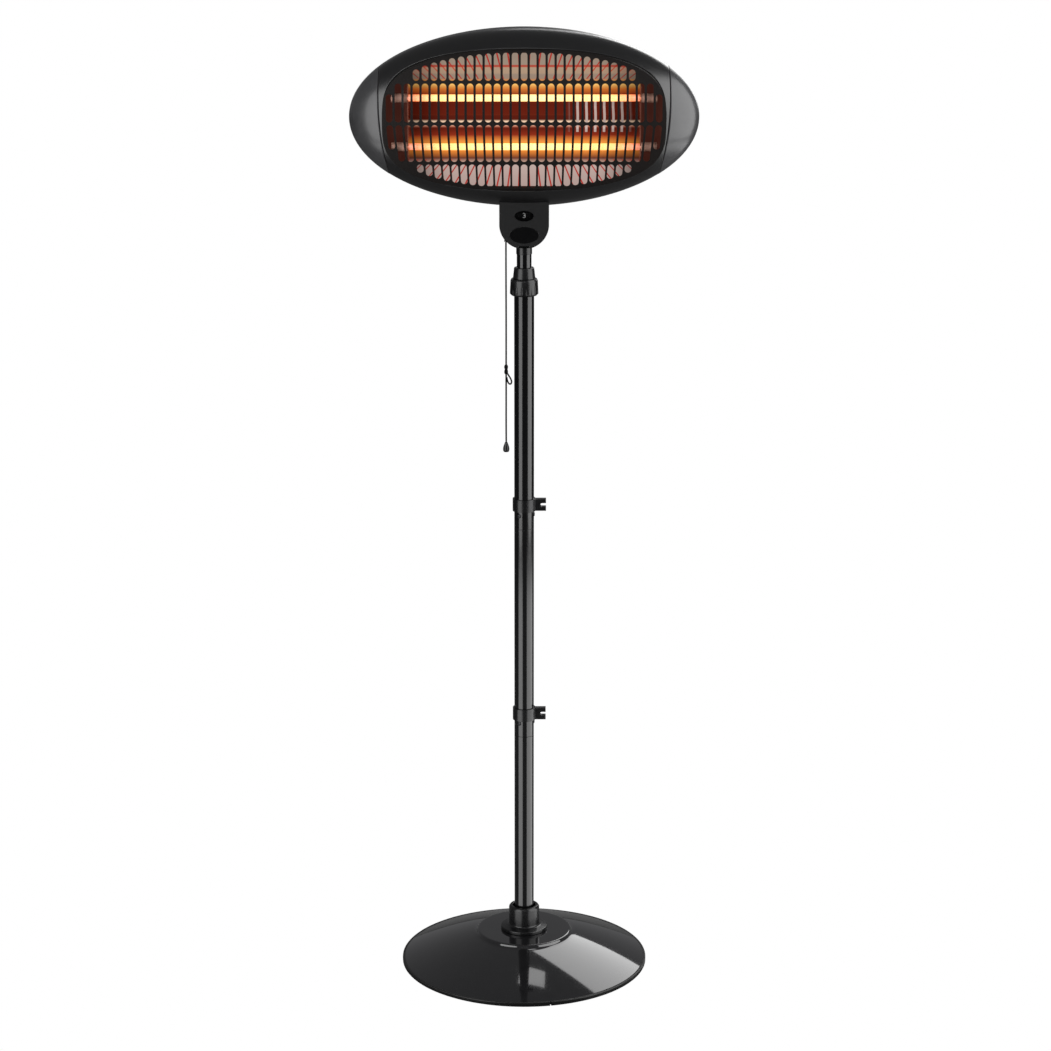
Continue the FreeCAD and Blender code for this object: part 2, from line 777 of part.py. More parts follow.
bolt_head = cylinder("bolt_head", "tilt_bolt_head_radius", "tilt_bolt_head_height",
                     (f"-({bolt_half}) - tilt_bolt_head_height", "0", "tilt_axis_height"), "X")
bolt_shank = cylinder("bolt_shank", "tilt_bolt_radius", f"({bolt_half}) * 2 + tilt_bolt_head_height * 1.5",
                      (f"-({bolt_half}) - tilt_bolt_head_height / 2", "0", "tilt_axis_height"), "X")
node("tilt_bolt", fuse("bolt", [bolt_head, bolt_shank]))
bolt_nut_blank = doc.addObject("Part::Prism", "bolt_nut_blank")
bind(bolt_nut_blank, "Circumradius", "tilt_bolt_head_radius")
bind(bolt_nut_blank, "Height", "tilt_bolt_head_height")
bolt_nut_blank.Placement = FreeCAD.Placement(FreeCAD.Vector(), TURNS["X"])
place(bolt_nut_blank, (bolt_half, "0", "tilt_axis_height"))
bolt_nut_thread = cylinder("bolt_nut_thread", "tilt_bolt_radius + fit_clearance", "tilt_bolt_head_height",
                           (bolt_half, "0", "tilt_axis_height"), "X")
node("tilt_nut", cut("bolt_nut", bolt_nut_blank, [bolt_nut_thread]))

# Head volumes: a deep front dome and a shallow rear dome on one oval rim

head_at = ("0", "head_rim_y", "head_height")


def head_dome(name, inset, depth):
    return ellipsoid(name, f"head_half_width - ({inset})", f"{depth} - ({inset})",
                     f"head_half_height - ({inset})",
                     head_at)


def head_half(name, whole, front):
    """The part of a dome that lies in front of the rim, or behind it."""
    reach = "-head_half_height" if front else "0"
    keep = box(name + "_keep", ("head_half_width * 4", "head_half_height", "head_half_height * 4"),
               ("-head_half_width * 2", f"head_rim_y + ({reach})", "head_height - head_half_height * 2"))
    return common(name, [whole, keep])


front_dome = head_dome("front_dome", "0", "bezel_depth")
rear_dome = head_dome("rear_dome", "0", "shell_depth")
front_solid = head_half("front_solid", front_dome, True)
rear_solid = head_half("rear_solid", rear_dome, False)


def opening_prism(name, inset, near_depth, far_depth):
    """Prism of the bezel's opening, a rounded oblong worked out by formula."""
    half_width = number("opening_half_width") - inset
    half_height = number("opening_half_height") - inset
    points = []
    for step in range(OUTLINE_POINTS):
        turn = 2 * math.pi * step / OUTLINE_POINTS
        across = math.copysign(abs(math.cos(turn)) ** (2 / number("opening_width_power")), math.cos(turn))
        up = math.copysign(abs(math.sin(turn)) ** (2 / number("opening_height_power")), math.sin(turn))
        points.append(FreeCAD.Vector(half_width * across, 0, half_height * up))
    curve = Part.BSplineCurve()
    curve.interpolate(points, PeriodicFlag=True)
    face = Part.Face(Part.Wire(curve.toShape()))
    prism = doc.addObject("Part::Feature", name)
    prism.Shape = face.extrude(FreeCAD.Vector(0, near_depth - far_depth, 0))
    rim_y = number("head_rim_y")
    prism.Placement.Base = FreeCAD.Vector(0, rim_y - near_depth, number("head_height"))
    return prism


# Bezel in three: a centre frame round the opening and two end caps

bezel_dome = cut("bezel_dome", front_dome, [head_dome("bezel_hollow", "bezel_wall", "bezel_depth")])
bezel_ring = head_half("bezel_ring", bezel_dome, True)
seam_depth = "bezel_depth * 2"


def seam_tool(name, side, grow):
    return cylinder(name, f"seam_radius + ({grow})", seam_depth,
                    (f"{side} * (seam_reach - seam_radius)", f"head_rim_y - {seam_depth}",
                     "head_height + seam_rise"),
                    "Y")


opening_back = 0
opening_front = number("grille_depth") * 2
opening = opening_prism("opening", 0, opening_back, opening_front)
frame_blank = common("frame_blank", [
    bezel_ring,
    seam_tool("frame_right_seam", 1, "-seam_gap / 2"),
    seam_tool("frame_left_seam", -1, "-seam_gap / 2"),
])
node("front_bezel", cut("bezel", frame_blank, [opening]))
for label, side in (("left_end_cap", -1), ("right_end_cap", 1)):
    half_start = "0" if side > 0 else "-head_half_width * 2"
    half = box(label + "_half", ("head_half_width * 2", "bezel_depth * 2", "head_half_height * 4"),
               (half_start, f"head_rim_y - {seam_depth}", "head_height - head_half_height * 2"))
    blank = common(label + "_blank", [bezel_ring, half])
    node(label, cut(label + "_piece", blank, [seam_tool(label + "_seam", side, "seam_gap / 2")]))

# Rear shell: vents, screw bosses and the slot for the bracket

shell_hollow = head_dome("shell_hollow", "shell_wall", "shell_depth")
shell_blank = head_half("shell_blank", cut("shell_dome", rear_dome, [shell_hollow]), False)
shell_inside = head_half("shell_inside", shell_hollow, False)
bosses = []
sinks = []
head_screws = []
for column in (-1, 1):
    for level in (-1, 1):
        tag = f"{column + 1}{level + 1}"
        boss_x = f"{column} * head_screw_x"
        boss_z = f"head_height + {level} * head_screw_z"
        post = cylinder(f"boss_post_{tag}", "boss_radius", "shell_depth", (boss_x, "head_rim_y", boss_z), "Y")
        bore = cylinder(f"boss_bore_{tag}", "head_screw_radius + fit_clearance", "shell_depth",
                        (boss_x, "head_rim_y", boss_z), "Y")
        sink = cylinder(f"boss_sink_{tag}", "head_screw_head_radius + fit_clearance", "shell_depth",
                        (boss_x, "head_screw_seat", boss_z), "Y")
        sinks.append(sink)
        bosses.append(cut(f"boss_{tag}", common(f"boss_blank_{tag}", [shell_inside, post]),
                          [fuse(f"boss_recess_{tag}", [bore, sink])]))
        head = cylinder(f"head_screw_head_{tag}", "head_screw_head_radius", "head_screw_head_height",
                        (boss_x, "head_screw_seat", boss_z), "Y")
        shank = cylinder(f"head_screw_shank_{tag}", "head_screw_radius",
                         "head_screw_seat - head_rim_y + chassis_thickness + head_screw_head_height / 2",
                         (boss_x, "head_rim_y - chassis_thickness", boss_z), "Y")
        head_screws.append(fuse(f"head_screw_{tag}", [head, shank]))
for side in (-1, 1):
    screw_x = f"{side} * bracket_screw_spread / 2"
    boss_start = "bracket_plate_offset + bracket_sheet"
    post = cylinder(f"bracket_post_{side + 1}", "boss_radius", "shell_depth",
                    (screw_x, boss_start, "bracket_screw_height"), "Y")
    bore = cylinder(f"bracket_bore_{side + 1}", "head_screw_radius + fit_clearance",
                    "head_screw_head_height / 2",
                    (screw_x, boss_start, "bracket_screw_height"), "Y")
    bosses.append(cut(f"bracket_boss_{side + 1}", common(f"bracket_boss_blank_{side + 1}", [shell_inside,
                                                                                            post]),
                      [bore]))
vents = []
middle = (int(number("vent_count")) - 1) / 2
for level in (-1, 1):
    for vent in range(int(number("vent_count"))):
        vents.append(box(f"vent_{level + 1}_{vent}", ("vent_width", "shell_depth", "vent_height"),
                         (f"{vent - middle} * vent_pitch - vent_width / 2", "bracket_plate_offset",
                          f"head_height + {level} * vent_rise - vent_height / 2")))
bracket_slot = box("bracket_slot",
                   ("bracket_plate_width + bracket_gap * 2", "bracket_sheet + bracket_gap * 2",
                    "head_half_height / 2"),
                   ("-bracket_plate_width / 2 - bracket_gap", "bracket_plate_offset - bracket_gap",
                    "head_height - head_half_height"))
open_shell = cut("open_shell", shell_blank, vents + sinks + [bracket_slot])
node("rear_shell", compound("shell", [open_shell] + bosses))
node("head_screws", compound("head_screw_set", head_screws))

# Control box: two shells round the bracket, cut to the head above them


def box_outline(inset):
    half = f"box_half_width - ({inset})"
    top = f"box_top_height - ({inset})"
    return [
        (f"-({half})", "box_centre_height"),
        (f"-({half})", top),
        (half, top),
        (half, "box_centre_height"),
    ]


def box_prism(name, inset, depth, back):
    return pad(name, "XZ_Plane", box_outline(inset), depth, back,
               arcs={3: f"box_half_width - ({inset}) + fit_clearance"})


neck_slot = box("neck_slot",
                ("neck_radius * 2 + notch_clearance * 2", "box_front_depth - box_wall + slot_back_reach",
                 "box_half_width"),
                ("-neck_radius - notch_clearance", "-box_front_depth + box_wall",
                 "slot_top_height - box_half_width"))
front_notch = box("front_notch",
                  ("tongue_width + notch_clearance * 2", "box_front_depth", "box_half_width"),
                  ("-tongue_width / 2 - notch_clearance", "-box_front_depth",
                   "notch_top_height - box_half_width"))
window_hole = oval("window_hole", "window_half_width + lens_clearance", "window_half_height + lens_clearance",
                   "box_wall * 2", ("0", "-box_front_depth - box_wall / 2", "window_height"))
cord_bush_hole = cylinder("cord_bush_hole", "cord_bush_radius + fit_clearance", "cord_bush_length * 2",
                          ("cord_x", "cord_y", "slider_bottom - cord_bush_length"))

box_screw_places = [("-box_screw_spread", "box_screw_height"), ("box_screw_spread", "box_screw_height")]
front_bosses = []
front_bores = []
back_holes = []
box_screws = []
for index, (x, z) in enumerate(box_screw_places):
    front_bosses.append(cylinder(f"box_boss_{index}", "box_boss_radius", "box_front_depth - box_wall / 2",
                                 (x, "-box_front_depth + box_wall / 2", z), "Y"))
    front_bores.append(cylinder(f"box_bore_{index}", "box_screw_radius + fit_clearance",
                                "box_front_depth / 2",
                                (x, "-box_front_depth / 2", z), "Y"))
    back_holes.append(cylinder(f"box_hole_{index}", "box_screw_radius + fit_clearance", "box_wall * 2",
                               (x, "box_back_depth - box_wall * 1.5", z), "Y"))
    head = cylinder(f"box_screw_head_{index}", "box_screw_head_radius", "box_screw_head_height",
                    (x, "box_back_depth", z), "Y")
    shank = cylinder(f"box_screw_shank_{index}", "box_screw_radius",
                     "box_back_depth + box_front_depth / 2 + box_screw_head_height / 2",
                     (x, "-box_front_depth / 2", z), "Y")
    box_screws.append(fuse(f"box_screw_{index}", [head, shank]))
node("box_screws", compound("box_screw_set", box_screws))

front_hull = cut("front_hull", box_prism("front_hull_outside", "0", "box_front_depth", False),
                 [box_prism("front_hull_inside", "box_wall", "box_front_depth - box_wall", False)])
front_with_bosses = fuse("front_with_bosses", [front_hull] + front_bosses)
front_tools = fuse("front_tools", [neck_slot, front_notch, window_hole, cord_bush_hole] + front_bores)
front_open = cut("front_open", front_with_bosses, [front_tools])
node("control_box_front", cut("box_front", cut("front_under_bezel", front_open, [front_solid]), [rear_solid]))

gland_hole = cylinder("gland_hole", "gland_body_radius + fit_clearance", "box_wall * 2",
                      ("0", "box_back_depth - box_wall * 1.5", "gland_height"), "Y")
back_hull = cut("back_hull", box_prism("back_hull_outside", "0", "box_back_depth", True),
                [box_prism("back_hull_inside", "box_wall", "box_back_depth - box_wall", True)])
plate_slot = box("plate_slot",
                 ("bracket_plate_width + bracket_gap * 2", "bracket_sheet + bracket_gap * 2", "box_wall * 4"),
                 ("-bracket_plate_width / 2 - bracket_gap", "bracket_plate_offset - bracket_gap",
                  "box_top_height - box_wall * 2"))
back_open = cut("back_open", back_hull, [neck_slot, gland_hole, plate_slot] + back_holes)
node("control_box_back", cut("box_back", back_open, [rear_solid]))

node("window_lens", oval("lens", "window_half_width", "window_half_height", "box_wall - badge_thickness",
                         ("0", "-box_front_depth + badge_thickness", "window_height")))
node("badge_plate", oval("badge", "badge_half_width", "badge_half_height", "badge_thickness",
                         ("0", "-box_front_depth - badge_thickness", "badge_height")))

gland_body = cylinder("gland_body", "gland_body_radius", "box_wall + gland_reach / 2",
                      ("0", "box_back_depth - box_wall", "gland_height"), "Y")
gland_flange = cylinder("gland_flange", "gland_flange_radius", "gland_reach / 2",
                        ("0", "box_back_depth", "gland_height"), "Y")
gland_nose = cylinder("gland_nose", "gland_body_radius", "gland_reach",
                      ("0", "box_back_depth", "gland_height"), "Y")
gland_bore = cylinder("gland_bore", "gland_bore_radius", "box_wall + gland_reach",
                      ("0", "box_back_depth - box_wall", "gland_height"), "Y")
node("cable_gland", cut("gland", fuse("gland_blank", [gland_body, gland_flange, gland_nose]), [gland_bore]))

node("tip_over_switch", box("tip_switch", ("tip_switch_width", "tip_switch_depth", "tip_switch_height"),
                            ("tip_switch_left", "bracket_plate_offset - tip_switch_depth",
                             "tip_switch_bottom")))

# Pull switch: body on the bracket, number drum behind the window, slider

drum_y = "-box_front_depth + drum_setback"
drum_left = "-drum_width / 2"
switch_right = "switch_left + switch_width"
switch_blank = box("switch_blank", ("switch_width", "bracket_plate_offset - switch_front",
                                    "switch_top - switch_bottom"),
                   ("switch_left", "switch_front", "switch_bottom"))
drum_hole = cylinder("drum_hole", "drum_shaft_radius + running_clearance", "drum_shaft_length * 2",
                     (f"{switch_right} - drum_shaft_length - running_clearance", drum_y, "window_height"),
                     "X")
slider_hole = cylinder("slider_hole", "slider_radius + running_clearance", "slider_length",
                       ("cord_x", "cord_y", "slider_bottom + running_clearance * 5"))
node("switch_body", cut("switch", switch_blank, [drum_hole, slider_hole]))

drum_roll = cylinder("drum_roll", "drum_radius", "drum_width", (drum_left, drum_y, "window_height"), "X")
drum_shaft = cylinder("drum_shaft", "drum_shaft_radius",
                      f"drum_shaft_length + drum_width / 2 + ({drum_left}) - ({switch_right})",
                      (f"{switch_right} - drum_shaft_length", drum_y, "window_height"), "X")
node("indicator_drum", fuse("drum", [drum_roll, drum_shaft]))

node("pull_slider", cylinder("slider", "slider_radius", "slider_length",
                             ("cord_x", "cord_y", "slider_bottom")))

bush_outside = cylinder("cord_bush_outside", "cord_bush_radius", "cord_bush_length",
                        ("cord_x", "cord_y", "slider_bottom"))
bush_inside = cylinder("cord_bush_inside", "slider_radius + nut_clearance", "cord_bush_length",
                       ("cord_x", "cord_y", "slider_bottom"))
node("cord_bush", cut("cord_bush_ring", bush_outside, [bush_inside]))

# Pull cord: two plumb runs, the knot between them, its loop, and the knob

cord_top = "slider_bottom - cord_start_gap"
node("pull_cord_upper", cylinder("cord_upper", "cord_radius", f"{cord_top} - knot_top",
                                 ("cord_x", "cord_y", "knot_top")))
node("pull_cord_lower", cylinder("cord_lower", "cord_radius", "knot_bottom - knob_top",
                                 ("cord_x", "cord_y", "knob_top")))

knot = turned("knot", [
    ("0", "knot_bottom"),
    ("knot_end_radius", "knot_bottom"),
    ("knot_radius", "knot_bottom + knot_shoulder"),
    ("knot_radius", "knot_top - knot_shoulder"),
    ("knot_end_radius", "knot_top"),
    ("0", "knot_top"),
])
place(knot, ("cord_x", "cord_y", "0"))
node("cord_knot", knot)

knob = turned("knob", [
    ("0", "knob_bottom"),
    ("knob_foot_radius", "knob_bottom"),
    ("knob_radius", "knob_bottom + knob_foot_rise"),
    ("knob_radius", "knob_bottom + knob_belly_rise"),
    ("knob_neck_radius", "knob_top - knob_neck_length"),
    ("knob_neck_radius", "knob_top"),
    ("0", "knob_top"),
])
place(knob, ("cord_x", "cord_y", "0"))
node("pull_knob", knob)

# Chassis, element brackets, reflector and quartz elements

chassis_outline = "chassis_gap + bezel_wall"
chassis_blank = oval("chassis_blank", f"head_half_width - ({chassis_outline})",
                     f"head_half_height - ({chassis_outline})",
                     "chassis_thickness", ("0", "head_rim_y - chassis_thickness", "head_height"))
chassis_holes = []
for column in (-1, 1):
    for level in (-1, 1):
        chassis_holes.append(cylinder(f"chassis_hole_{column + 1}{level + 1}",
                                      "head_screw_radius + fit_clearance",
                                      "chassis_thickness * 3",
                                      (f"{column} * head_screw_x", "head_rim_y - chassis_thickness * 2",
                                       f"head_height + {level} * head_screw_z"), "Y"))
node("chassis_plate", cut("chassis", chassis_blank, chassis_holes))

ELEMENTS = (("upper", "head_height + upper_element_rise"), ("lower", "head_height - lower_element_drop"))
element_y = "head_rim_y - element_depth"
chassis_front = "head_rim_y - chassis_thickness"
bracket_corners = [
    (chassis_front, "head_height - element_bracket_half_height"),
    (chassis_front, "head_height + element_bracket_half_height"),
    ("head_rim_y - element_bracket_shoulder", "head_height + element_bracket_half_height"),
    ("head_rim_y - element_bracket_nose", "head_height + element_bracket_nose_half_height"),
    ("head_rim_y - element_bracket_nose", "head_height - element_bracket_nose_half_height"),
    ("head_rim_y - element_bracket_shoulder", "head_height - element_bracket_half_height"),
]
caps = []
for label, side in (("left_element_bracket", -1), ("right_element_bracket", 1)):
    plate = pad(label + "_plate", "YZ_Plane", bracket_corners, "element_bracket_sheet", back=side < 0)
    place(plate, (f"{side} * element_bracket_x", "0", "0"))
    holes = []
    for level, height in ELEMENTS:
        start = f"{side} * element_bracket_x - element_bracket_sheet * 2"
        holes.append(cylinder(f"{label}_{level}_hole", "quartz_radius + element_hole_clearance",
                              "element_bracket_sheet * 4", (start, element_y, height), "X"))
        cap_start = "element_bracket_x + element_bracket_sheet"
        cap_low = cap_start if side > 0 else f"-({cap_start}) - cap_length"
        cap_blank = cylinder(f"{label}_{level}_cap_blank", "cap_radius", "cap_length",
                             (cap_low, element_y, height), "X")
        seat = "quartz_half_length + fit_clearance"
        cap_seat = cylinder(f"{label}_{level}_cap_seat", "quartz_radius + fit_clearance", f"({seat}) * 2",
                            (f"-({seat})", element_y, height), "X")
        coil_seat = f"{seat} + coil_overlap"
        cap_core = cylinder(f"{label}_{level}_cap_core", "quartz_radius - quartz_wall", f"({coil_seat}) * 2",
                            (f"-({coil_seat})", element_y, height), "X")
        caps.append(cut(f"{label}_{level}_cap", cap_blank, [fuse(f"{label}_{level}_cap_bore", [cap_seat,
                                                                                               cap_core])]))
    node(label, cut(label + "_drilled", plate, holes))
node("ceramic_caps", compound("cap_set", caps))

for level, height in ELEMENTS:
    node(f"{level}_quartz_tube", tube(f"{level}_quartz", "quartz_radius", "quartz_radius - quartz_wall",
                                      "quartz_half_length * 2", ("-quartz_half_length", element_y, height),
                                      "X"))
    coil_half = "quartz_half_length + coil_overlap"
    node(f"{level}_heating_coil", cylinder(f"{level}_coil", "quartz_radius - quartz_wall - coil_gap",
                                           f"({coil_half}) * 2", (f"-({coil_half})", element_y, height), "X"))

REFLECTOR_CORNERS = (
    ("reflector_edge_depth", "reflector_edge_height"),
    ("reflector_shoulder_depth", "reflector_shoulder_height"),
    ("reflector_trough_depth", "upper_element_rise + quartz_radius * 2"),
    ("reflector_trough_depth", "reflector_foot_height"),
    ("reflector_ridge_depth", "reflector_ridge_height"),
    ("reflector_ridge_depth", "-reflector_ridge_height"),
    ("reflector_trough_depth", "-reflector_foot_height"),
    ("reflector_trough_depth", "-lower_element_drop - quartz_radius * 2"),
    ("reflector_shoulder_depth", "-reflector_shoulder_height"),
    ("reflector_edge_depth", "-reflector_edge_height"),
)
reflector_front = [(f"head_rim_y - {depth}", f"head_height + ({rise})") for depth, rise in REFLECTOR_CORNERS]
reflector_back = [(f"{depth} + reflector_sheet", rise) for depth, rise in reversed(reflector_front)]
reflector_pad = pad("reflector_pad", "YZ_Plane", reflector_front + reflector_back, "element_bracket_x * 2")
place(reflector_pad, ("-element_bracket_x", "0", "0"))
grille_inset = number("grille_clearance")
side_inset = number("grille_clearance + grille_side_wall")
reflector_outline = opening_prism("reflector_outline", side_inset + grille_inset, opening_back, opening_front)
node("reflector", common("reflector_piece", [reflector_pad, reflector_outline]))

node("terminal_block", box("terminal", ("terminal_width", "terminal_depth", "terminal_height"),
                           ("-terminal_width / 2", "bracket_plate_offset - terminal_depth",
                            "bracket_screw_height - boss_radius * 2 - terminal_height")))

# Grille: a bowed sheet with rows of slots, and a side wall round it

bow_y = "head_rim_y - grille_depth + grille_bow_radius"
grille_length = "opening_half_width * 2"
bow_at = ("-opening_half_width", bow_y, "head_height")
sheet_outside = cylinder("sheet_outside", "grille_bow_radius", grille_length, bow_at, "X")
sheet_inside = cylinder("sheet_inside", "grille_bow_radius - grille_sheet", grille_length, bow_at, "X")
side_foot = number("grille_side_foot")
sheet_blank = common("sheet_blank", [
    cut("bowed_sheet", sheet_outside, [sheet_inside]),
    opening_prism("sheet_outline", side_inset + number("fit_clearance"), side_foot, opening_front),
])
side_blank = cut("side_blank", opening_prism("side_outline", grille_inset, side_foot, opening_front),
                 [opening_prism("side_core", side_inset, side_foot - CUT_MARGIN, opening_front + CUT_MARGIN)])
node("grille_band", common("side_wall", [side_blank, sheet_outside]))


def opening_half_height_at(across):
    share = min(1.0, abs(across) / number("opening_half_width"))
    rest = 1 - share ** number("opening_width_power")
    return number("opening_half_height") * rest ** (1 / number("opening_height_power"))


def obround(centre_x, centre_z, width, height, lean):
    """Slot with round ends, standing in the XZ plane and leaning by an angle."""
    radius = width / 2
    rise = height / 2 - radius
    corners = [FreeCAD.Vector(x, 0, z) for x, z in ((radius, -rise), (radius, rise), (-radius, rise),
                                                    (-radius, -rise))]
    top = Part.Arc(corners[1], FreeCAD.Vector(0, 0, rise + radius), corners[2]).toShape()
    bottom = Part.Arc(corners[3], FreeCAD.Vector(0, 0, -rise - radius), corners[0]).toShape()
    sides = [Part.LineSegment(corners[0], corners[1]).toShape(),
             Part.LineSegment(corners[2], corners[3]).toShape()]
    outline = Part.Wire([sides[0], top, sides[1], bottom])
    face = Part.Face(outline)
    face.rotate(FreeCAD.Vector(), FreeCAD.Vector(0, 1, 0), lean)
    face.translate(FreeCAD.Vector(centre_x, 0, centre_z))
    return face


def grille_slots():
    pitch = number("slot_pitch")
    width = number("slot_width")
    half_bar = number("slot_bar_height") / 2
    margin = number("slot_edge_margin")
    upper = number("slot_upper_bar_rise")
    middle_bar = number("slot_middle_bar_rise")
    lower = number("slot_lower_bar_rise")
    lean_per_mm = number("slot_lean") / number("opening_half_width")
    faces = []
    for column in range(-SLOT_COLUMNS_EACH_SIDE, SLOT_COLUMNS_EACH_SIDE + 1):
        across = column * pitch
        edge = opening_half_height_at(abs(across) + width / 2) - margin
        rows = (
            (upper + half_bar, edge, 0),
            (middle_bar + half_bar, min(upper - half_bar, edge), 0),
            (max(lower + half_bar, -edge), middle_bar - half_bar, 1),
            (-edge, lower - half_bar, 1),
        )
        for bottom, top, leaning in rows:
            if top - bottom < width * SHORTEST_SLOT_SHARE:
                continue
            height = (bottom + top) / 2
            lean = leaning * lean_per_mm * across
            shift = (height - middle_bar) * math.tan(math.radians(lean)) if leaning else 0
            faces.append(obround(across + shift, height, width, top - bottom, lean))
    return faces


slot_set = doc.addObject("Part::Feature", "slot_set")
slot_set.Shape = Part.makeCompound([face.extrude(FreeCAD.Vector(0, -opening_front,
                                                                0)) for face in grille_slots()])
slot_set.Placement.Base = FreeCAD.Vector(0, number("head_rim_y"), number("head_height"))
node("grille", cut("slotted_sheet", sheet_blank, [slot_set]))

# Knot loop: a small bight of cord that hangs at the right of the knot, in front of the pole

LOOP_WAY = ((0, 0), (0.55, -0.10), (0.95, -0.42), (0.95, -0.78), (0.55, -1.0), (0.2, -0.8))
LOOP_TURN_SHARE = 0.45


def bent_tube(name, points, radius):
    """Round cord along straight runs with a tangent arc at each corner."""
    edges = []
    start = points[0]
    for before, corner, after in zip(points, points[1:], points[2:]):
        way_in = (corner - before).normalize()
        way_out = (after - corner).normalize()
        half_turn = way_in.getAngle(way_out) / 2
        shorter = min((corner - before).Length, (after - corner).Length)
        reach = LOOP_TURN_SHARE * shorter
        bend = reach / math.tan(half_turn)
        inward = (way_out - way_in).normalize()
        centre = corner + inward * (bend / math.cos(half_turn))
        first = corner - way_in * reach
        last = corner + way_out * reach
        edges.append(Part.LineSegment(start, first).toShape())
        edges.append(Part.Arc(first, centre - inward * bend, last).toShape())
        print(f"{name} bend radius {bend:.1f}")
        start = last
    edges.append(Part.LineSegment(start, points[-1]).toShape())
    way = Part.Wire(edges)
    ring = Part.Wire(Part.makeCircle(radius, points[0], points[1] - points[0]))
    piece = doc.addObject("Part::Feature", name)
    piece.Shape = way.makePipeShell([ring], True, False)
    plain_volume = math.pi * radius ** 2 * way.Length
    print(f"{name} volume over section times length {piece.Shape.Volume / plain_volume:.4f}")
    return piece


loop_start = number("knot_radius + nut_clearance")
loop_z = number("(knot_bottom + knot_top) / 2")
loop_turn = math.radians(number("loop_turn"))
loop_points = []
for across, down in LOOP_WAY:
    reach = loop_start + across * number("loop_width")
    loop_points.append(FreeCAD.Vector(number("cord_x") + reach * math.cos(loop_turn),
                                      number("cord_y") - reach * math.sin(loop_turn),
                                      loop_z + down * number("loop_drop")))
node("cord_loop", bent_tube("loop", loop_points, number("cord_radius")))

# Check every object and sub-part, then write the files

doc.recompute()
for item in doc.Objects:
    if "Invalid" in item.State or "Error" in item.State:
        raise RuntimeError(f"{item.Name} failed: {item.State}")
for piece in nodes:
    shape = piece.Shape
    if shape.isNull() or not shape.isValid() or not shape.Solids:
        raise RuntimeError(f"{piece.Label} has no valid solid")
os.makedirs("parts", exist_ok=True)
for piece in nodes:
    piece.Shape.exportStep(f"parts/{piece.Label}.step")
print(f"{len(nodes)} sub-parts written")
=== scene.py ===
import math

import bmesh
import bpy
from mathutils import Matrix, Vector


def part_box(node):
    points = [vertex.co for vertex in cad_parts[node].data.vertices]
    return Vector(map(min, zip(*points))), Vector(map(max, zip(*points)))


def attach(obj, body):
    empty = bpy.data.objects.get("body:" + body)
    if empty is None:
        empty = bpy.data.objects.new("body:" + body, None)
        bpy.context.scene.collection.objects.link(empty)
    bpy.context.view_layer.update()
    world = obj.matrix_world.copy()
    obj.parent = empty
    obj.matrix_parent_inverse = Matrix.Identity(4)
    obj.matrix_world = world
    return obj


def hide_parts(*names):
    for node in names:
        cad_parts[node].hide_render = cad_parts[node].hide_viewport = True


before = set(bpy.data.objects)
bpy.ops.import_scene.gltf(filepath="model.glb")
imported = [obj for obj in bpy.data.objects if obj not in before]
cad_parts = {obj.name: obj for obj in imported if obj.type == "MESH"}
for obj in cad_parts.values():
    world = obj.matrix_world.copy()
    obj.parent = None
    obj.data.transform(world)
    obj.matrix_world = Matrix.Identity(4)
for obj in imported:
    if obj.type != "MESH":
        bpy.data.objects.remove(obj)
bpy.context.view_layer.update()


# Studio: a floor, white to the camera, whose lit bands carry the side lights' stripes down the pole,
# soft lights on each side, behind, above and in front, and a camera at the photograph's angle.
class Wire:
    """A socket in a node tree. Sums and tests on wires add Math nodes."""

    def __init__(self, tree, socket=None):
        self.tree = tree
        self.socket = socket

    def node(self, kind, settings=None, sockets=None, out=0):
        made = self.tree.nodes.new(kind)
        for key, value in (settings or {}).items():
            if key == "stops":
                ramp = made.color_ramp
                ramp.elements.remove(ramp.elements[-1])
                ramp.elements[0].position = value[0][0]
                ramp.elements[0].color = (*value[0][1], 1)
                for place, colour in value[1:]:
                    ramp.elements.new(place).color = (*colour, 1)
            else:
                setattr(made, key, value)
        for key, value in (sockets or {}).items():
            self.feed(made.inputs[key], value)
        return Wire(self.tree, made.outputs[out])

    def feed(self, target, value):
        if isinstance(value, Wire):
            self.tree.links.new(value.socket, target)
        else:
            target.default_value = value

    def axis(self, letter):
        return self.node("ShaderNodeSeparateXYZ", {}, {0: self}, out=letter)

    def noise(self, scale, detail):
        return self.node("ShaderNodeTexNoise", {}, {"Vector": self, "Scale": scale, "Detail": detail})

    def mix(self, factor, first, second, blend="MIX"):
        settings = {"data_type": "RGBA", "blend_type": blend}
        return self.node("ShaderNodeMix", settings, {0: factor, 6: first, 7: second}, out=2)

    def smooth_step(self, start, end, low=0.0, high=1.0):
        """Low before start, high after end, smooth between them."""
        return self.node("ShaderNodeMapRange", {"interpolation_type": "SMOOTHSTEP"},
                         {0: self, 1: start, 2: end, 3: low, 4: high})

    def sum(self, operation, first, second=0.0):
        return self.node("ShaderNodeMath", {"operation": operation}, {0: first, 1: second})

    def __add__(self, other):
        return self.sum("ADD", self, other)

    def __radd__(self, other):
        return self.sum("ADD", other, self)

    def __sub__(self, other):
        return self.sum("SUBTRACT", self, other)

    def __rsub__(self, other):
        return self.sum("SUBTRACT", other, self)

    def __mul__(self, other):
        return self.sum("MULTIPLY", self, other)

    def __truediv__(self, other):
        return self.sum("DIVIDE", self, other)

    def __abs__(self):
        return self.sum("ABSOLUTE", self)

    def __lt__(self, other):
        return self.sum("LESS_THAN", self, other)

    def __gt__(self, other):
        return self.sum("GREATER_THAN", self, other)


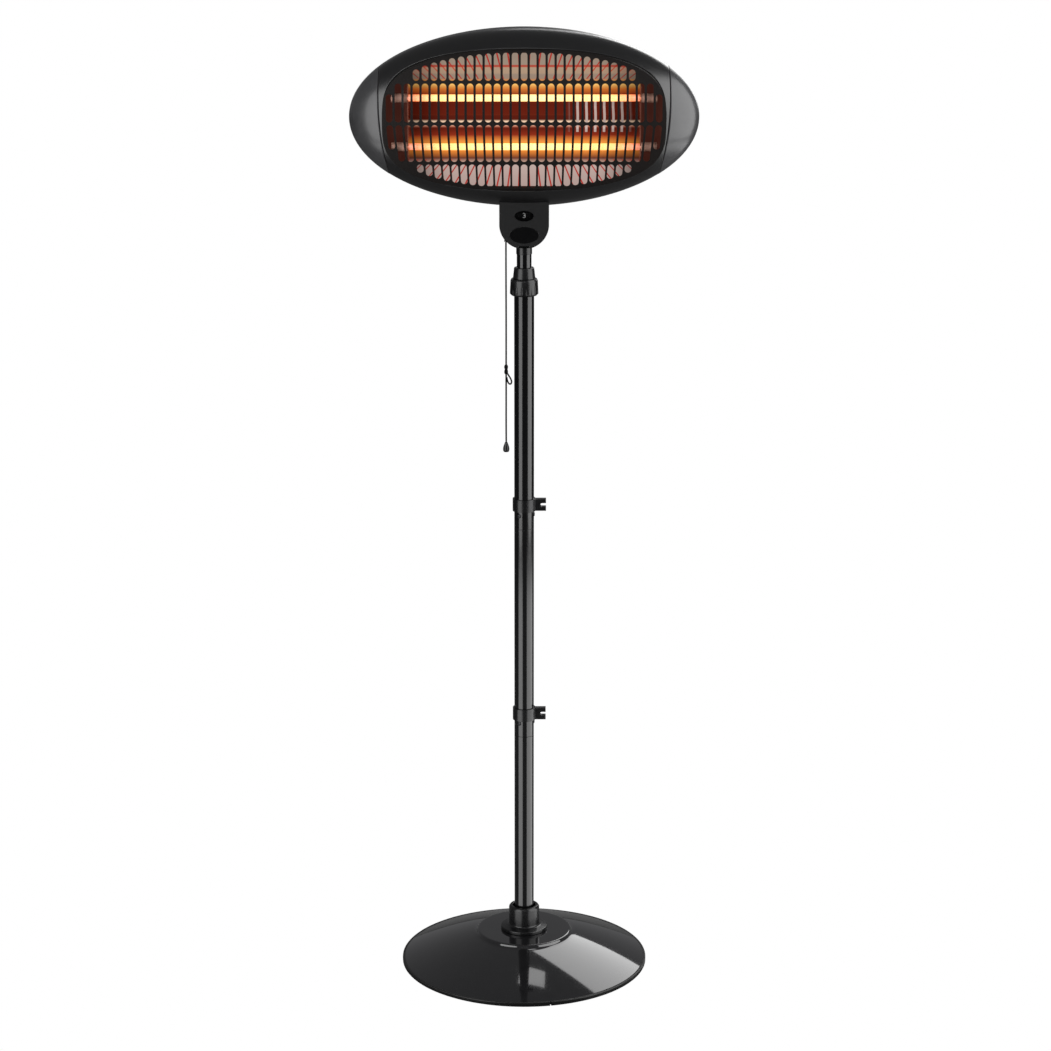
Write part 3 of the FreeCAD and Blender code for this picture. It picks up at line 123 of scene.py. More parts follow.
BACKGROUND_WHITE = (1.0, 1.0, 1.0, 1.0)
FLOOR_GREY = (0.14, 0.14, 0.14, 1.0)
FLOOR_HALF = 30.0
BAND_ANGLES = ((-68.0, -18.0), (32.0, 110.0))
BAND_EDGE = 4.0
BAND_REACH = (0.24, 0.3, 2.4, 3.0)
BAND_FALL = (1.22, 1.10)
BAND_GLOW = 3.4
floor_mesh = bpy.data.meshes.new("floor")
floor_corners = [(x * FLOOR_HALF, y * FLOOR_HALF, 0) for x, y in ((-1, -1), (1, -1), (1, 1), (-1, 1))]
floor_mesh.from_pydata(floor_corners, [], [(0, 1, 2, 3)])
floor = bpy.data.objects.new("floor", floor_mesh)
bpy.context.collection.objects.link(floor)
floor_paint = bpy.data.materials.new("floor_paint")
floor_paint.use_nodes = True
floor_tree = floor_paint.node_tree
floor_tree.nodes.remove(floor_tree.nodes["Principled BSDF"])
ground = Wire(floor_tree).node("ShaderNodeTexCoord", out="Object")
ground_turn = ground.sum("ARCTAN2", ground.axis("X"), ground.axis("Y") * -1.0)
ground_reach = ground.node("ShaderNodeVectorMath", {"operation": "LENGTH"}, {0: ground}, out="Value")
light_way = ground.node("ShaderNodeLightPath", out="Ray Length")
band_ring = ground_reach.smooth_step(*BAND_REACH[:2]) - ground_reach.smooth_step(*BAND_REACH[2:])
band_ring = band_ring * (light_way / ground_reach).smooth_step(*BAND_FALL)
bands = []
for band_sides in BAND_ANGLES:
    rising, falling = (
        ground_turn.smooth_step(math.radians(side - BAND_EDGE), math.radians(side + BAND_EDGE))
        for side in band_sides)
    bands.append(rising - falling)
band_strength = (bands[0] + bands[1]) * band_ring * BAND_GLOW
floor_dull = ground.node("ShaderNodeBsdfDiffuse", {}, {"Color": FLOOR_GREY})
floor_glow = ground.node("ShaderNodeEmission", {}, {"Strength": band_strength})
floor_lit = ground.node("ShaderNodeAddShader", {}, {0: floor_dull, 1: floor_glow})
floor_white = ground.node("ShaderNodeEmission", {}, {"Color": BACKGROUND_WHITE})
floor_seen = ground.node("ShaderNodeLightPath", out="Is Camera Ray")
floor_either = ground.node("ShaderNodeMixShader", {}, {0: floor_seen, 1: floor_lit, 2: floor_white})
ground.feed(floor_tree.nodes["Material Output"].inputs["Surface"], floor_either)
floor_mesh.materials.append(floor_paint)

ROOM_GREY = (0.18, 0.18, 0.185, 1.0)
world = bpy.data.worlds.new("studio")
bpy.context.scene.world = world
world.use_nodes = True
world_tree = world.node_tree
room_light = world_tree.nodes["Background"]
room_light.inputs["Color"].default_value = ROOM_GREY
room = Wire(world_tree, room_light.outputs[0])
backdrop = room.node("ShaderNodeBackground", {}, {"Color": BACKGROUND_WHITE})
room_seen = room.node("ShaderNodeLightPath", out="Is Camera Ray")
room_either = room.node("ShaderNodeMixShader", {}, {0: room_seen, 1: room, 2: backdrop})
room.feed(world_tree.nodes["World Output"].inputs["Surface"], room_either)

SOFTBOXES = {
    "left_softbox": {"place": (-1.85, -2.0, 1.35), "aim": (0.0, 0.0, 0.9),
                     "size": (2.1, 2.9), "radiance": 3.4},
    "right_softbox": {"place": (2.6, -0.9, 1.75), "aim": (0.0, 0.0, 1.3),
                      "size": (3.0, 3.7), "radiance": 3.6},
    "back_softbox": {"place": (1.15, 2.4, 2.3), "aim": (0.1, 0.0, 0.2),
                     "size": (1.6, 2.0), "radiance": 3.0},
    "top_softbox": {"place": (0.15, 1.3, 2.9), "aim": (0.0, -0.1, 0.1),
                    "size": (0.5, 0.35), "radiance": 2.5},
    "front_fill": {"place": (0.0, -4.2, 3.6), "aim": (0.0, 0.0, 1.3),
                   "size": (1.6, 0.5), "radiance": 4.0},
}
for light_name, lamp in SOFTBOXES.items():
    light_data = bpy.data.lights.new(light_name, "AREA")
    light_data.shape = "RECTANGLE"
    light_data.size, light_data.size_y = lamp["size"]
    light_data.energy = lamp["radiance"] * math.pi * lamp["size"][0] * lamp["size"][1]
    light = bpy.data.objects.new(light_name, light_data)
    light.location = lamp["place"]
    light_aim = Vector(lamp["aim"]) - Vector(lamp["place"])
    light.rotation_euler = light_aim.to_track_quat("-Z", "Y").to_euler()
    bpy.context.collection.objects.link(light)

CAMERA_PLACE = (0.0, -5.4, 2.285)
CAMERA_PITCH = 14.09
CAMERA_LENS = 104.5
CAMERA_SENSOR = 36.0
CAMERA_SHIFT = (0.0013, -0.04)
camera_data = bpy.data.cameras.new("camera")
camera_data.lens = CAMERA_LENS
camera_data.sensor_width = CAMERA_SENSOR
camera_data.shift_x, camera_data.shift_y = CAMERA_SHIFT
camera = bpy.data.objects.new("camera", camera_data)
camera.location = CAMERA_PLACE
camera.rotation_euler = (math.radians(90 - CAMERA_PITCH), 0, 0)
bpy.context.collection.objects.link(camera)
bpy.context.scene.camera = camera
bpy.context.scene.view_settings.view_transform = "Standard"


# Base: a pressed steel dome in gloss black enamel over a cement ring and a steel disc, with a
# black channel pushed on the rim and split at the front, standing on six rubber pads.
GRAIN_DETAIL = 4.0
SKIN_DETAIL = 2.0
MM_PER_M = 1000
MERGE_DISTANCE = 1e-6
LONGEST_ROUND = 0.36
FLAT_GUARD = 1.3


def new_finish(name):
    """An empty finish: its material, the surface shader's sockets, and the Object coordinates."""
    material = bpy.data.materials.new(name)
    material.use_nodes = True
    tree = material.node_tree
    place = Wire(tree).node("ShaderNodeTexCoord", out="Object")
    return material, tree.nodes["Principled BSDF"].inputs, place


def coated(name, colour, rough, grain, tone=0.2, spread=0.05, bump=0.0, bump_scale=900.0,
           bump_height=0.0003, **fixed):
    """A finish whose colour and gloss vary with a fine grain, and whose skin is slightly uneven."""
    material, sockets, place = new_finish(name)
    fleck = place.noise(grain, GRAIN_DETAIL)
    dark = tuple(c * (1 - tone) for c in colour) + (1,)
    pale = tuple(min(1.0, c * (1 + tone)) for c in colour) + (1,)
    place.feed(sockets["Base Color"], place.mix(fleck, dark, pale))
    place.feed(sockets["Roughness"], rough + (fleck - 0.5) * (2 * spread))
    if bump:
        skin = place.noise(bump_scale, SKIN_DETAIL)
        uneven = {"Height": skin, "Strength": bump, "Distance": bump_height}
        place.feed(sockets["Normal"], place.node("ShaderNodeBump", {}, uneven))
    for key, value in fixed.items():
        sockets[key.replace("_", " ")].default_value = value
    return material


def dress(finish, *nodes):
    """Gives CAD nodes their finish."""
    for name in nodes:
        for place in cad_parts[name].material_slots:
            place.material = finish


def rounded(corners, radius, steps=5):
    """A closed outline with rounded corners, and a point beside each arc that keeps the flats flat."""
    points = []
    for index, corner in enumerate(corners):
        here = Vector(corner)
        ends = []
        for other in (corners[index - 1], corners[(index + 1) % len(corners)]):
            run = Vector(other) - here
            ends.append(here + run.normalized() * min(radius, run.length * LONGEST_ROUND))
        points.append(here + (ends[0] - here) * FLAT_GUARD)
        for step in range(steps + 1):
            t = step / steps
            points.append(ends[0] * (1 - t) ** 2 + here * (2 * t * (1 - t)) + ends[1] * t ** 2)
        points.append(here + (ends[1] - here) * FLAT_GUARD)
    return points


def piece_of(name, vertices, faces, finish, sharp=40.0):
    """A smooth piece at the origin from its points and faces, with its normals turned outwards."""
    mesh = bpy.data.meshes.new(name)
    mesh.from_pydata(vertices, [], faces)
    work = bmesh.new()
    work.from_mesh(mesh)
    bmesh.ops.remove_doubles(work, verts=work.verts, dist=MERGE_DISTANCE)
    bmesh.ops.recalc_face_normals(work, faces=work.faces)
    work.to_mesh(mesh)
    work.free()
    mesh.polygons.foreach_set("use_smooth", [True] * len(mesh.polygons))
    mesh.set_sharp_from_angle(angle=math.radians(sharp))
    mesh.materials.append(finish)
    made = bpy.data.objects.new(name, mesh)
    bpy.context.collection.objects.link(made)
    return made


def turned(name, outline, finish, centre=(0.0, 0.0), segments=144, gap=None):
    """A closed outline of (radius, height) in mm swept round a plumb axis, but not over the gap."""
    gap_start, gap_end = gap or (0.0, 0.0)
    sweep = 2 * math.pi - (gap_end - gap_start)
    rings = segments if gap is None else segments + 1
    vertices, faces = [], []
    count = len(outline)
    for ring in range(rings):
        turn = gap_end + sweep * ring / segments
        for radius, height in outline:
            x, y = centre[0] + radius * math.cos(turn), centre[1] + radius * math.sin(turn)
            vertices.append((x / MM_PER_M, y / MM_PER_M, height / MM_PER_M))
    for ring in range(segments):
        here, after = ring * count, (ring + 1) % rings * count
        for spot in range(count):
            beside = (spot + 1) % count
            faces.append((here + spot, after + spot, after + beside, here + beside))
    if gap is not None:
        faces.append(tuple(range(count)))
        faces.append(tuple(range((rings - 1) * count, rings * count)))
    return piece_of(name, vertices, faces, finish)


def stand_for(piece, body, slot, *nodes):
    """Puts a piece on its body in place of the CAD nodes."""
    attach(piece, body)
    if nodes:
        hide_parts(*nodes)
    return piece


enamel = coated("black_enamel", (0.0065, 0.0065, 0.007), rough=0.07, grain=60.0, spread=0.03,
                bump=0.04, bump_scale=260.0, Coat_Weight=0.6, Coat_Roughness=0.03)
trim_plastic = coated("black_trim", (0.004, 0.004, 0.004), rough=0.32, grain=300.0,
                      bump=0.15, bump_scale=2200.0, Specular_IOR_Level=0.3)
bare_steel = coated("zinc_steel", (0.45, 0.45, 0.46), rough=0.34, grain=500.0, bump=0.1, Metallic=1.0)
pad_rubber = coated("rubber_pad", (0.012, 0.012, 0.012), rough=0.8, grain=700.0, bump=0.3)
cast_cement = coated("cement", (0.30, 0.29, 0.27), rough=0.9, grain=120.0, tone=0.35,
                     bump=0.6, bump_height=0.001)
BASE_SEGMENTS = 256
DOME_LIP = [(226.8, 4.6), (227.0, 7.0)]
DOME_FOOT = (226.5, 9.0)
DOME_STEP = (92.0, 57.0)
DOME_PLATE = [(90.6, 57.8), (89.4, 59.2), (88.4, 61.2), (87.2, 62.4), (85.6, 62.9), (83.0, 63.0),
              (12.2, 63.0)]
DOME_CROWN = 2.5
DOME_LEAN = 0.33
DOME_STEPS = 28
DOME_SHEET = 1.0
dome_flank = []
for dome_step in range(DOME_STEPS + 1):
    share = dome_step / DOME_STEPS
    rise = DOME_CROWN * 4 * share * (1 - share)
    dome_flank.append((DOME_FOOT[0] + (DOME_STEP[0] - DOME_FOOT[0]) * share + rise * DOME_LEAN,
                       DOME_FOOT[1] + (DOME_STEP[1] - DOME_FOOT[1]) * share + rise))
dome_line = DOME_LIP + dome_flank + DOME_PLATE
dome_outline = dome_line + [(radius, height - DOME_SHEET) for radius, height in reversed(dome_line)]
base_dome = turned("base_dome", dome_outline, enamel, segments=BASE_SEGMENTS)
stand_for(base_dome, "stand", "black_enamel", "base_cover")

TRIM_CORNERS = [(222.0, 1.5), (230.0, 1.5), (230.0, 9.5), (224.6, 9.5), (224.6, 9.0), (227.2, 8.6),
                (227.2, 3.2), (222.0, 3.2)]
TRIM_ROUND = 1.6
TRIM_SPLIT = (math.radians(-78.0), math.radians(-77.4))
trim_outline = rounded(TRIM_CORNERS, TRIM_ROUND)
rim_trim = turned("rim_trim", trim_outline, trim_plastic, segments=BASE_SEGMENTS, gap=TRIM_SPLIT)
stand_for(rim_trim, "stand", "black_trim", "base_edge_trim")
dress(cast_cement, "base_weight")
dress(bare_steel, "base_bottom_plate", "pole_socket", "socket_screws", "socket_nuts")
dress(pad_rubber, "base_feet")


# Socket cover: an injection moulded flange with a sleeve that hides the foot of the pole. It is
# satin black and drops over the pole from above.
satin_plastic = coated("black_plastic", (0.004, 0.004, 0.0042), rough=0.25, grain=120.0, spread=0.02,
                       bump=0.02, bump_scale=1600.0, Specular_IOR_Level=0.4)
COVER_CORNERS = [(21.0, 63.1), (43.5, 63.1), (43.5, 69.6), (31.0, 71.6), (28.5, 73.6), (28.5, 106.5),
                 (26.0, 110.0), (21.0, 110.0)]
COVER_ROUND = 1.4
socket_cover = turned("socket_collar", rounded(COVER_CORNERS, COVER_ROUND), satin_plastic)
stand_for(socket_cover, "stand", "black_plastic", "socket_cover")


# Pole: three steel tubes in gloss black powder coat, butted end to end over inner sleeves, with
# slightly rolled ends that leave a fine dark line at each joint.
pole_coat = coated("black_steel", (0.003, 0.003, 0.0032), rough=0.13, grain=90.0, spread=0.03,
                   bump=0.06, bump_scale=420.0, Specular_IOR_Level=0.36, Coat_Weight=0.3,
                   Coat_Roughness=0.05)
POLE_OUTER = 18.0
POLE_INNER = 16.5
POLE_ROUND = 0.6
TUBE_ROUND_STEPS = 3


def steel_tube(name, node, body, inner, outer, edge):
    """A coated tube as long as its CAD node, with rolled ends, in place of the node."""
    low, high = (corner[2] * MM_PER_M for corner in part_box(node))
    wall = [(inner, low), (outer, low), (outer, high), (inner, high)]
    tube = turned(name, rounded(wall, edge, TUBE_ROUND_STEPS), pole_coat)
    return stand_for(tube, body, "black_steel", node)


POLE_TUBES = {"pole_low": "lower_pole", "pole_mid": "middle_pole", "pole_high": "upper_pole"}
for tube_name, tube_node in POLE_TUBES.items():
    steel_tube(tube_name, tube_node, "stand", POLE_INNER, POLE_OUTER, POLE_ROUND)
dress(bare_steel, "lower_pole_sleeve", "upper_pole_sleeve")


# Pole screws: button head screws with a small socket, three round each joint, blackened, driven
# through the tube into the sleeve behind it.
RING_INPUTS = {"Geometry": "Geometry", "Count": "Int", "Radius": "Float", "Height": "Float",
               "Finish": "Material"}


def ring_tree():
    """Nodes that set copies of a shape round the plumb axis, facing outwards."""
    tree = bpy.data.node_groups.new("ring_of_copies", "GeometryNodeTree")
    for label, kind in RING_INPUTS.items():
        tree.interface.new_socket(label, in_out="INPUT", socket_type="NodeSocket" + kind)
    tree.interface.new_socket("Geometry", in_out="OUTPUT", socket_type="NodeSocketGeometry")
    given = tree.nodes.new("NodeGroupInput").outputs
    shape, count, radius, height, finish = (Wire(tree, given[label]) for label in RING_INPUTS)
    turn = count.node("GeometryNodeInputIndex") / count * (2 * math.pi)
    facing = turn.node("ShaderNodeCombineXYZ", {}, {"Z": turn})
    reach = turn.node("ShaderNodeCombineXYZ", {}, {"X": radius, "Z": height})
    spun = turn.node("ShaderNodeVectorRotate", {"rotation_type": "Z_AXIS"}, {"Vector": reach, "Angle": turn})
    spots = turn.node("GeometryNodePoints", {}, {"Count": count, "Position": spun})
    copies = turn.node("GeometryNodeInstanceOnPoints", {},
                       {"Points": spots, "Instance": shape, "Rotation": facing})
    real = turn.node("GeometryNodeRealizeInstances", {}, {0: copies})
    painted = turn.node("GeometryNodeSetMaterial", {}, {"Geometry": real, "Material": finish})
    turn.feed(tree.nodes.new("NodeGroupOutput").inputs[0], painted)
    return tree


ring_of_copies = ring_tree()


def plain_mesh(shape):
    """A plain mesh of an object as its modifiers, bevel or font leave it."""
    return bpy.data.meshes.new_from_object(shape.evaluated_get(bpy.context.evaluated_depsgraph_get()))


def ringed(shape, count, radius, height):
    """A plain mesh of copies of a shape, which lies along +X at the axis, set round the axis (mm)."""
    hold = shape.modifiers.new("ring", "NODES")
    hold.node_group = ring_of_copies
    sizes = {"Count": count, "Radius": radius / MM_PER_M, "Height": height / MM_PER_M,
             "Finish": shape.data.materials[0]}
    for item in ring_of_copies.interface.items_tree:
        if item.in_out == "INPUT" and item.name in sizes:
            hold[item.identifier] = sizes[item.name]
    mesh = plain_mesh(shape)
    shape.modifiers.remove(hold)
    return mesh


def joined(name, meshes):
    """One piece from several plain meshes."""
    work = bmesh.new()
    for mesh in meshes:
        work.from_mesh(mesh)
    merged = bpy.data.meshes.new(name)
    work.to_mesh(merged)
    work.free()
    for material in meshes[0].materials:
        merged.materials.append(material)
    made = bpy.data.objects.new(name, merged)
    bpy.context.collection.objects.link(made)
    return made


screw_black = coated("black_screw", (0.03, 0.03, 0.032), rough=0.3, grain=800.0, bump=0.05, Metallic=0.9)
BUTTON_OUTLINE = [(0.0, -0.3), (4.0, -0.3), (4.0, 0.3), (3.7, 0.9), (3.0, 1.4), (2.1, 1.6), (1.4, 1.6),
                  (1.4, 0.5), (0.0, 0.5)]
BUTTON_SEGMENTS = 24
BUTTON_SINK = 0.1
SCREWS_PER_JOINT = 3
POLE_JOINTS = (448.0, 846.0)
SCREW_RISE = 26.0
button = turned("button_pattern", BUTTON_OUTLINE, screw_black, segments=BUTTON_SEGMENTS)
for spot in button.data.vertices:
    x, y, z = spot.co
    spot.co = (z, x, y)
screw_rings = [ringed(button, SCREWS_PER_JOINT, POLE_OUTER - BUTTON_SINK, joint + SCREW_RISE)
               for joint in POLE_JOINTS]
bpy.data.objects.remove(button)
pole_screw_heads = joined("pole_screw_heads", screw_rings)
stand_for(pole_screw_heads, "stand", "black_screw", "pole_screws")


# Cable clips: moulded rings that snap on the pole, each with a fork whose slot holds the mains
# lead. Satin black, with softened moulded edges.
FLAT_ANGLE = 0.5
SOFT_EDGE_STEPS = 2


def softened(name, node, finish, body, slot, width=0.6, sharp=32.0):
    """A copy of a CAD node's solid with its edges softened, in place of the node."""
    work = bmesh.new()
    work.from_mesh(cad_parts[node].data)
    bmesh.ops.remove_doubles(work, verts=work.verts, dist=MERGE_DISTANCE)
    bmesh.ops.dissolve_limit(work, angle_limit=math.radians(FLAT_ANGLE), verts=work.verts, edges=work.edges)
    mesh = bpy.data.meshes.new(name)
    work.to_mesh(mesh)
    work.free()
    mesh.materials.clear()
    mesh.materials.append(finish)
    mesh.polygons.foreach_set("use_smooth", [True] * len(mesh.polygons))
    mesh.set_sharp_from_angle(angle=math.radians(sharp))
    made = bpy.data.objects.new(name, mesh)
    bpy.context.collection.objects.link(made)
    edge = made.modifiers.new("edge", "BEVEL")
    edge.width = width / MM_PER_M
    edge.segments = SOFT_EDGE_STEPS
    edge.limit_method = "ANGLE"
    edge.angle_limit = math.radians(sharp)
    edge.harden_normals = True
    return stand_for(made, body, slot, node)


softened("clip_low", "lower_cable_clip", satin_plastic, "stand", "black_plastic")
softened("clip_high", "upper_cable_clip", satin_plastic, "stand", "black_plastic")


# Twist lock: a collet in the pole's end, a ribbed nut round it that squeezes it on the mast, and a
# short cone on top. All three are moulded in satin black.
dress(satin_plastic, "lock_collet")
CONE_BORE = 13.4
CONE_FOOT = 20.2
CONE_TOP = 18.0
CONE_ROUND = 1.2
cone_low, cone_high = (corner[2] * MM_PER_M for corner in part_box("lock_cone"))
cone_corners = [(CONE_BORE, cone_low), (CONE_FOOT, cone_low), (CONE_TOP, cone_high), (CONE_BORE, cone_high)]
lock_cone = turned("lock_cone_skirt", rounded(cone_corners, CONE_ROUND), satin_plastic)
stand_for(lock_cone, "stand", "black_plastic", "lock_cone")
softened("nut_grip", "locking_nut", satin_plastic, "nut", "black_plastic", width=0.4)


# Mast: a telescopic steel tube in the same gloss black, with a moulded bush at its foot and a
# plug with the tilt tongue at its top.
MAST_OUTER = 13.25
MAST_INNER = 12.05
MAST_ROUND = 0.5
steel_tube("mast_tube", "inner_tube", "mast", MAST_INNER, MAST_OUTER, MAST_ROUND)
dress(satin_plastic, "guide_bush")
softened("neck", "neck_adapter", satin_plastic, "mast", "black_plastic", width=0.5)


# Tilt joint: a folded steel bracket with its bolt and nut. The same blackened screws hold the
# bracket to the head, the two halves of the box together and the rear shell to the chassis.
dress(pole_coat, "tilt_bracket")
dress(screw_black, "tilt_bolt", "tilt_nut", "bracket_screws", "box_screws", "head_screws")


# Control box: two moulded shells in matt black with a fine spark-eroded texture. An oval window
# shows the drum's digit, and a bare gloss oval plate sits under it.
box_skin = coated("box_plastic", (0.005, 0.005, 0.0052), rough=0.46, grain=400.0,
                  bump=0.3, bump_scale=3200.0, bump_height=0.0002, Specular_IOR_Level=0.3)
window_skin = coated("window_plastic", (0.002, 0.002, 0.002), rough=0.05, grain=200.0, spread=0.02,
                     Alpha=0.3)
badge_skin = coated("badge_gloss", (0.003, 0.003, 0.0032), rough=0.10, grain=90.0, spread=0.04)
drum_skin = coated("drum_plastic", (0.004, 0.004, 0.004), rough=0.4, grain=300.0, Specular_IOR_Level=0.2)
softened("box_front", "control_box_front", box_skin, "head", "box_plastic", width=1.2)
softened("box_back", "control_box_back", box_skin, "head", "box_plastic", width=1.2)
softened("badge_oval", "badge_plate", badge_skin, "head", "badge_gloss", width=0.3)
dress(window_skin, "window_lens")
dress(drum_skin, "indicator_drum")
digit_ink = coated("digit_ink", (0.75, 0.75, 0.74), rough=0.5, grain=500.0, tone=0.06)
DRUM_AXIS = (-17.0, 1427.0)
DRUM_RADIUS = 10.05
DIGIT_HEIGHT = 9.5
DIGIT_DEPTH = 0.2
DIGIT_WEIGHT = 0.02
digit_text = bpy.data.curves.new("digit_text", "FONT")
digit_text.body = "3"
digit_text.extrude = DIGIT_DEPTH / 2
digit_text.offset = DIGIT_WEIGHT
digit_line = bpy.data.objects.new("digit_line", digit_text)
bpy.context.collection.objects.link(digit_line)
digit_mesh = plain_mesh(digit_line)
bpy.data.objects.remove(digit_line)
digit_low = [min(spot.co[axis] for spot in digit_mesh.vertices) for axis in range(3)]
digit_high = [max(spot.co[axis] for spot in digit_mesh.vertices) for axis in range(3)]
digit_scale = DIGIT_HEIGHT / (digit_high[1] - digit_low[1])
for spot in digit_mesh.vertices:
    sideways = (spot.co.x - (digit_low[0] + digit_high[0]) / 2) * digit_scale
    up = (spot.co.y - (digit_low[1] + digit_high[1]) / 2) * digit_scale
    proud = DRUM_RADIUS + (DIGIT_DEPTH if spot.co.z > 0 else 0.0)
    face_y = DRUM_AXIS[0] - math.sqrt(proud ** 2 - up ** 2)
    spot.co = Vector((sideways, face_y, DRUM_AXIS[1] + up)) / MM_PER_M
digit_mesh.materials.clear()
digit_mesh.materials.append(digit_ink)
digit = bpy.data.objects.new("drum_digit", digit_mesh)
bpy.context.collection.objects.link(digit)
stand_for(digit, "drum", "drum_plastic")
dress(satin_plastic, "switch_body", "pull_slider", "cord_bush", "tip_over_switch", "cable_gland",
      "terminal_block")


# Pull cord: a thin black braid from the switch to a knot with a small bight, and on to a turned
# knob. It hangs plumb by its own weight.
BRAID_DARK = (0.0015, 0.0015, 0.0015, 1)
BRAID_PALE = (0.006, 0.006, 0.006, 1)
BRAID_SCALE = 700.0
BRAID_WAVER = 1.5
BRAID_ROUGH = 0.6
BRAID_ROUGH_SPREAD = 0.2
BRAID_BUMP = 0.5
BRAID_HEIGHT = 0.0003
BRAID_SPECULAR = 0.08
cord_skin, cord_sockets, cord_place = new_finish("cord_braid")
braid_turn = cord_place.node("ShaderNodeTexWave", {"bands_direction": "DIAGONAL"},
                             {"Vector": cord_place, "Scale": BRAID_SCALE, "Distortion": BRAID_WAVER})
braid_bump = cord_place.node("ShaderNodeBump", {},
                             {"Height": braid_turn, "Strength": BRAID_BUMP, "Distance": BRAID_HEIGHT})
cord_place.feed(cord_sockets["Base Color"], cord_place.mix(braid_turn, BRAID_DARK, BRAID_PALE))
cord_place.feed(cord_sockets["Roughness"], BRAID_ROUGH + braid_turn * BRAID_ROUGH_SPREAD)
cord_place.feed(cord_sockets["Normal"], braid_bump)
cord_sockets["Specular IOR Level"].default_value = BRAID_SPECULAR

CORD_AXIS = (-32.5, -8.0)
CORD_X = CORD_AXIS[0] / MM_PER_M
CORD_Y = CORD_AXIS[1] / MM_PER_M
CORD_DIAMETER = 0.003
CORD_TIP = 0.1
CORD_BEVEL_STEPS = 4
CORD_SPLINE_STEPS = 8
UPPER_ROUTE = [(CORD_X, CORD_Y, 1.3768), (CORD_X, CORD_Y, 1.3760), (CORD_X, CORD_Y, 1.3757),
               (CORD_X, CORD_Y, 1.31), (CORD_X + 0.0002, CORD_Y, 1.23), (CORD_X, CORD_Y, 1.153)]
LOWER_ROUTE = [(CORD_X, CORD_Y, 1.135), (CORD_X, CORD_Y, 1.09), (CORD_X - 0.0002, CORD_Y, 1.05),
               (CORD_X, CORD_Y, 1.009)]
BIGHT_TURN = math.radians(50.0)
BIGHT_WAY = [(0.0016, 1.1390), (0.0058, 1.1350), (0.0120, 1.1300), (0.0160, 1.1245), (0.0138, 1.1190),
             (0.0075, 1.1185), (0.0029, 1.1240), (0.0015, 1.1300)]
BIGHT_ROUTE = [(CORD_X + reach * math.cos(BIGHT_TURN), CORD_Y - reach * math.sin(BIGHT_TURN), height)
               for reach, height in BIGHT_WAY]


def cord_line(name, points, tip=1.0):
    """A cord as one open smooth spline of its diameter, drawn to a share of it at its first end."""
    curve = bpy.data.curves.new(name, "CURVE")
    curve.dimensions = "3D"
    curve.bevel_depth = CORD_DIAMETER / 2
    curve.bevel_resolution = CORD_BEVEL_STEPS
    curve.resolution_u = CORD_SPLINE_STEPS
    curve.use_fill_caps = True
    spline = curve.splines.new("NURBS")
    spline.points.add(len(points) - 1)
    for spot, place in zip(spline.points, points):
        spot.co = (*place, 1)
    spline.points[0].radius = tip
    spline.order_u = 3
    spline.use_endpoint_u = True
    curve.materials.append(cord_skin)
    made = bpy.data.objects.new(name, curve)
    bpy.context.collection.objects.link(made)
    return made


upper_line = cord_line("pull_line_upper", UPPER_ROUTE, tip=CORD_TIP)
lower_line = cord_line("pull_line_lower", LOWER_ROUTE)
bight_line = cord_line("knot_bight_line", BIGHT_ROUTE)
bight_mesh = plain_mesh(bight_line)
bpy.data.objects.remove(bight_line)
knot_bight = bpy.data.objects.new("knot_bight", bight_mesh)
bpy.context.collection.objects.link(knot_bight)
stand_for(upper_line, "cord", "cord_braid", "pull_cord_upper")
stand_for(lower_line, "cord", "cord_braid", "pull_cord_lower")
stand_for(knot_bight, "cord", "cord_braid", "cord_loop")

KNOT_OUTLINE = [(0.0, 1135.0), (1.5, 1135.0), (2.9, 1136.2), (3.5, 1138.6), (3.3, 1141.4), (2.7, 1143.4),
                (2.8, 1145.0), (3.4, 1146.8), (3.5, 1149.2), (2.9, 1151.6), (1.5, 1153.0), (0.0, 1153.0)]
KNOT_SEGMENTS = 40
knot = turned("pull_knot", KNOT_OUTLINE, cord_skin, centre=CORD_AXIS, segments=KNOT_SEGMENTS)
stand_for(knot, "cord", "cord_braid", "cord_knot")
KNOB_OUTLINE = [(0.0, 991.0), (3.4, 991.0), (4.6, 991.5), (5.3, 992.8), (5.75, 995.0), (5.7, 998.0),
                (5.0, 1001.4), (3.9, 1004.6), (2.9, 1007.2), (2.6, 1008.4), (2.2, 1009.0), (0.0, 1009.0)]
KNOB_SEGMENTS = 48
knob = turned("pull_handle", KNOB_OUTLINE, satin_plastic, centre=CORD_AXIS, segments=KNOB_SEGMENTS)
stand_for(knob, "cord", "black_plastic", "pull_knob")


# Head shells: a front bezel and two end caps pressed to one oval dome, in black and dark grey
# lacquer, on a shallower rear shell with vents.
bezel_skin = coated("bezel_lacquer", (0.004, 0.004, 0.0042), rough=0.30, grain=70.0, spread=0.04,
                    bump=0.05, bump_scale=500.0, Coat_Weight=0.5, Coat_Roughness=0.22)
cap_skin = coated("cap_lacquer", (0.038, 0.038, 0.0395), rough=0.30, grain=70.0, spread=0.03,
                  bump=0.04, bump_scale=500.0, Coat_Weight=0.25, Coat_Roughness=0.12)
HEAD_Z = 1600.0
HEAD_HALF = (310.0, 159.0)
RIM_Y = -5.0
FRONT_DEPTH = 84.0
SHELL_WALL = 2.0
OPENING_HALF = (249.0, 125.0)
OPENING_POWERS = (2.3, 3.2)
SEAM_RADIUS = 680.0
SEAM_REACH = 256.5
SEAM_RISE = 53.0
SEAM_GAP = 0.9
FRAME_TURNS = 512
FRAME_BANDS = 14
CAP_ROWS = 120
CAP_COLUMNS = 30
REACH_HALVINGS = 30
RIM_HALVINGS = 40


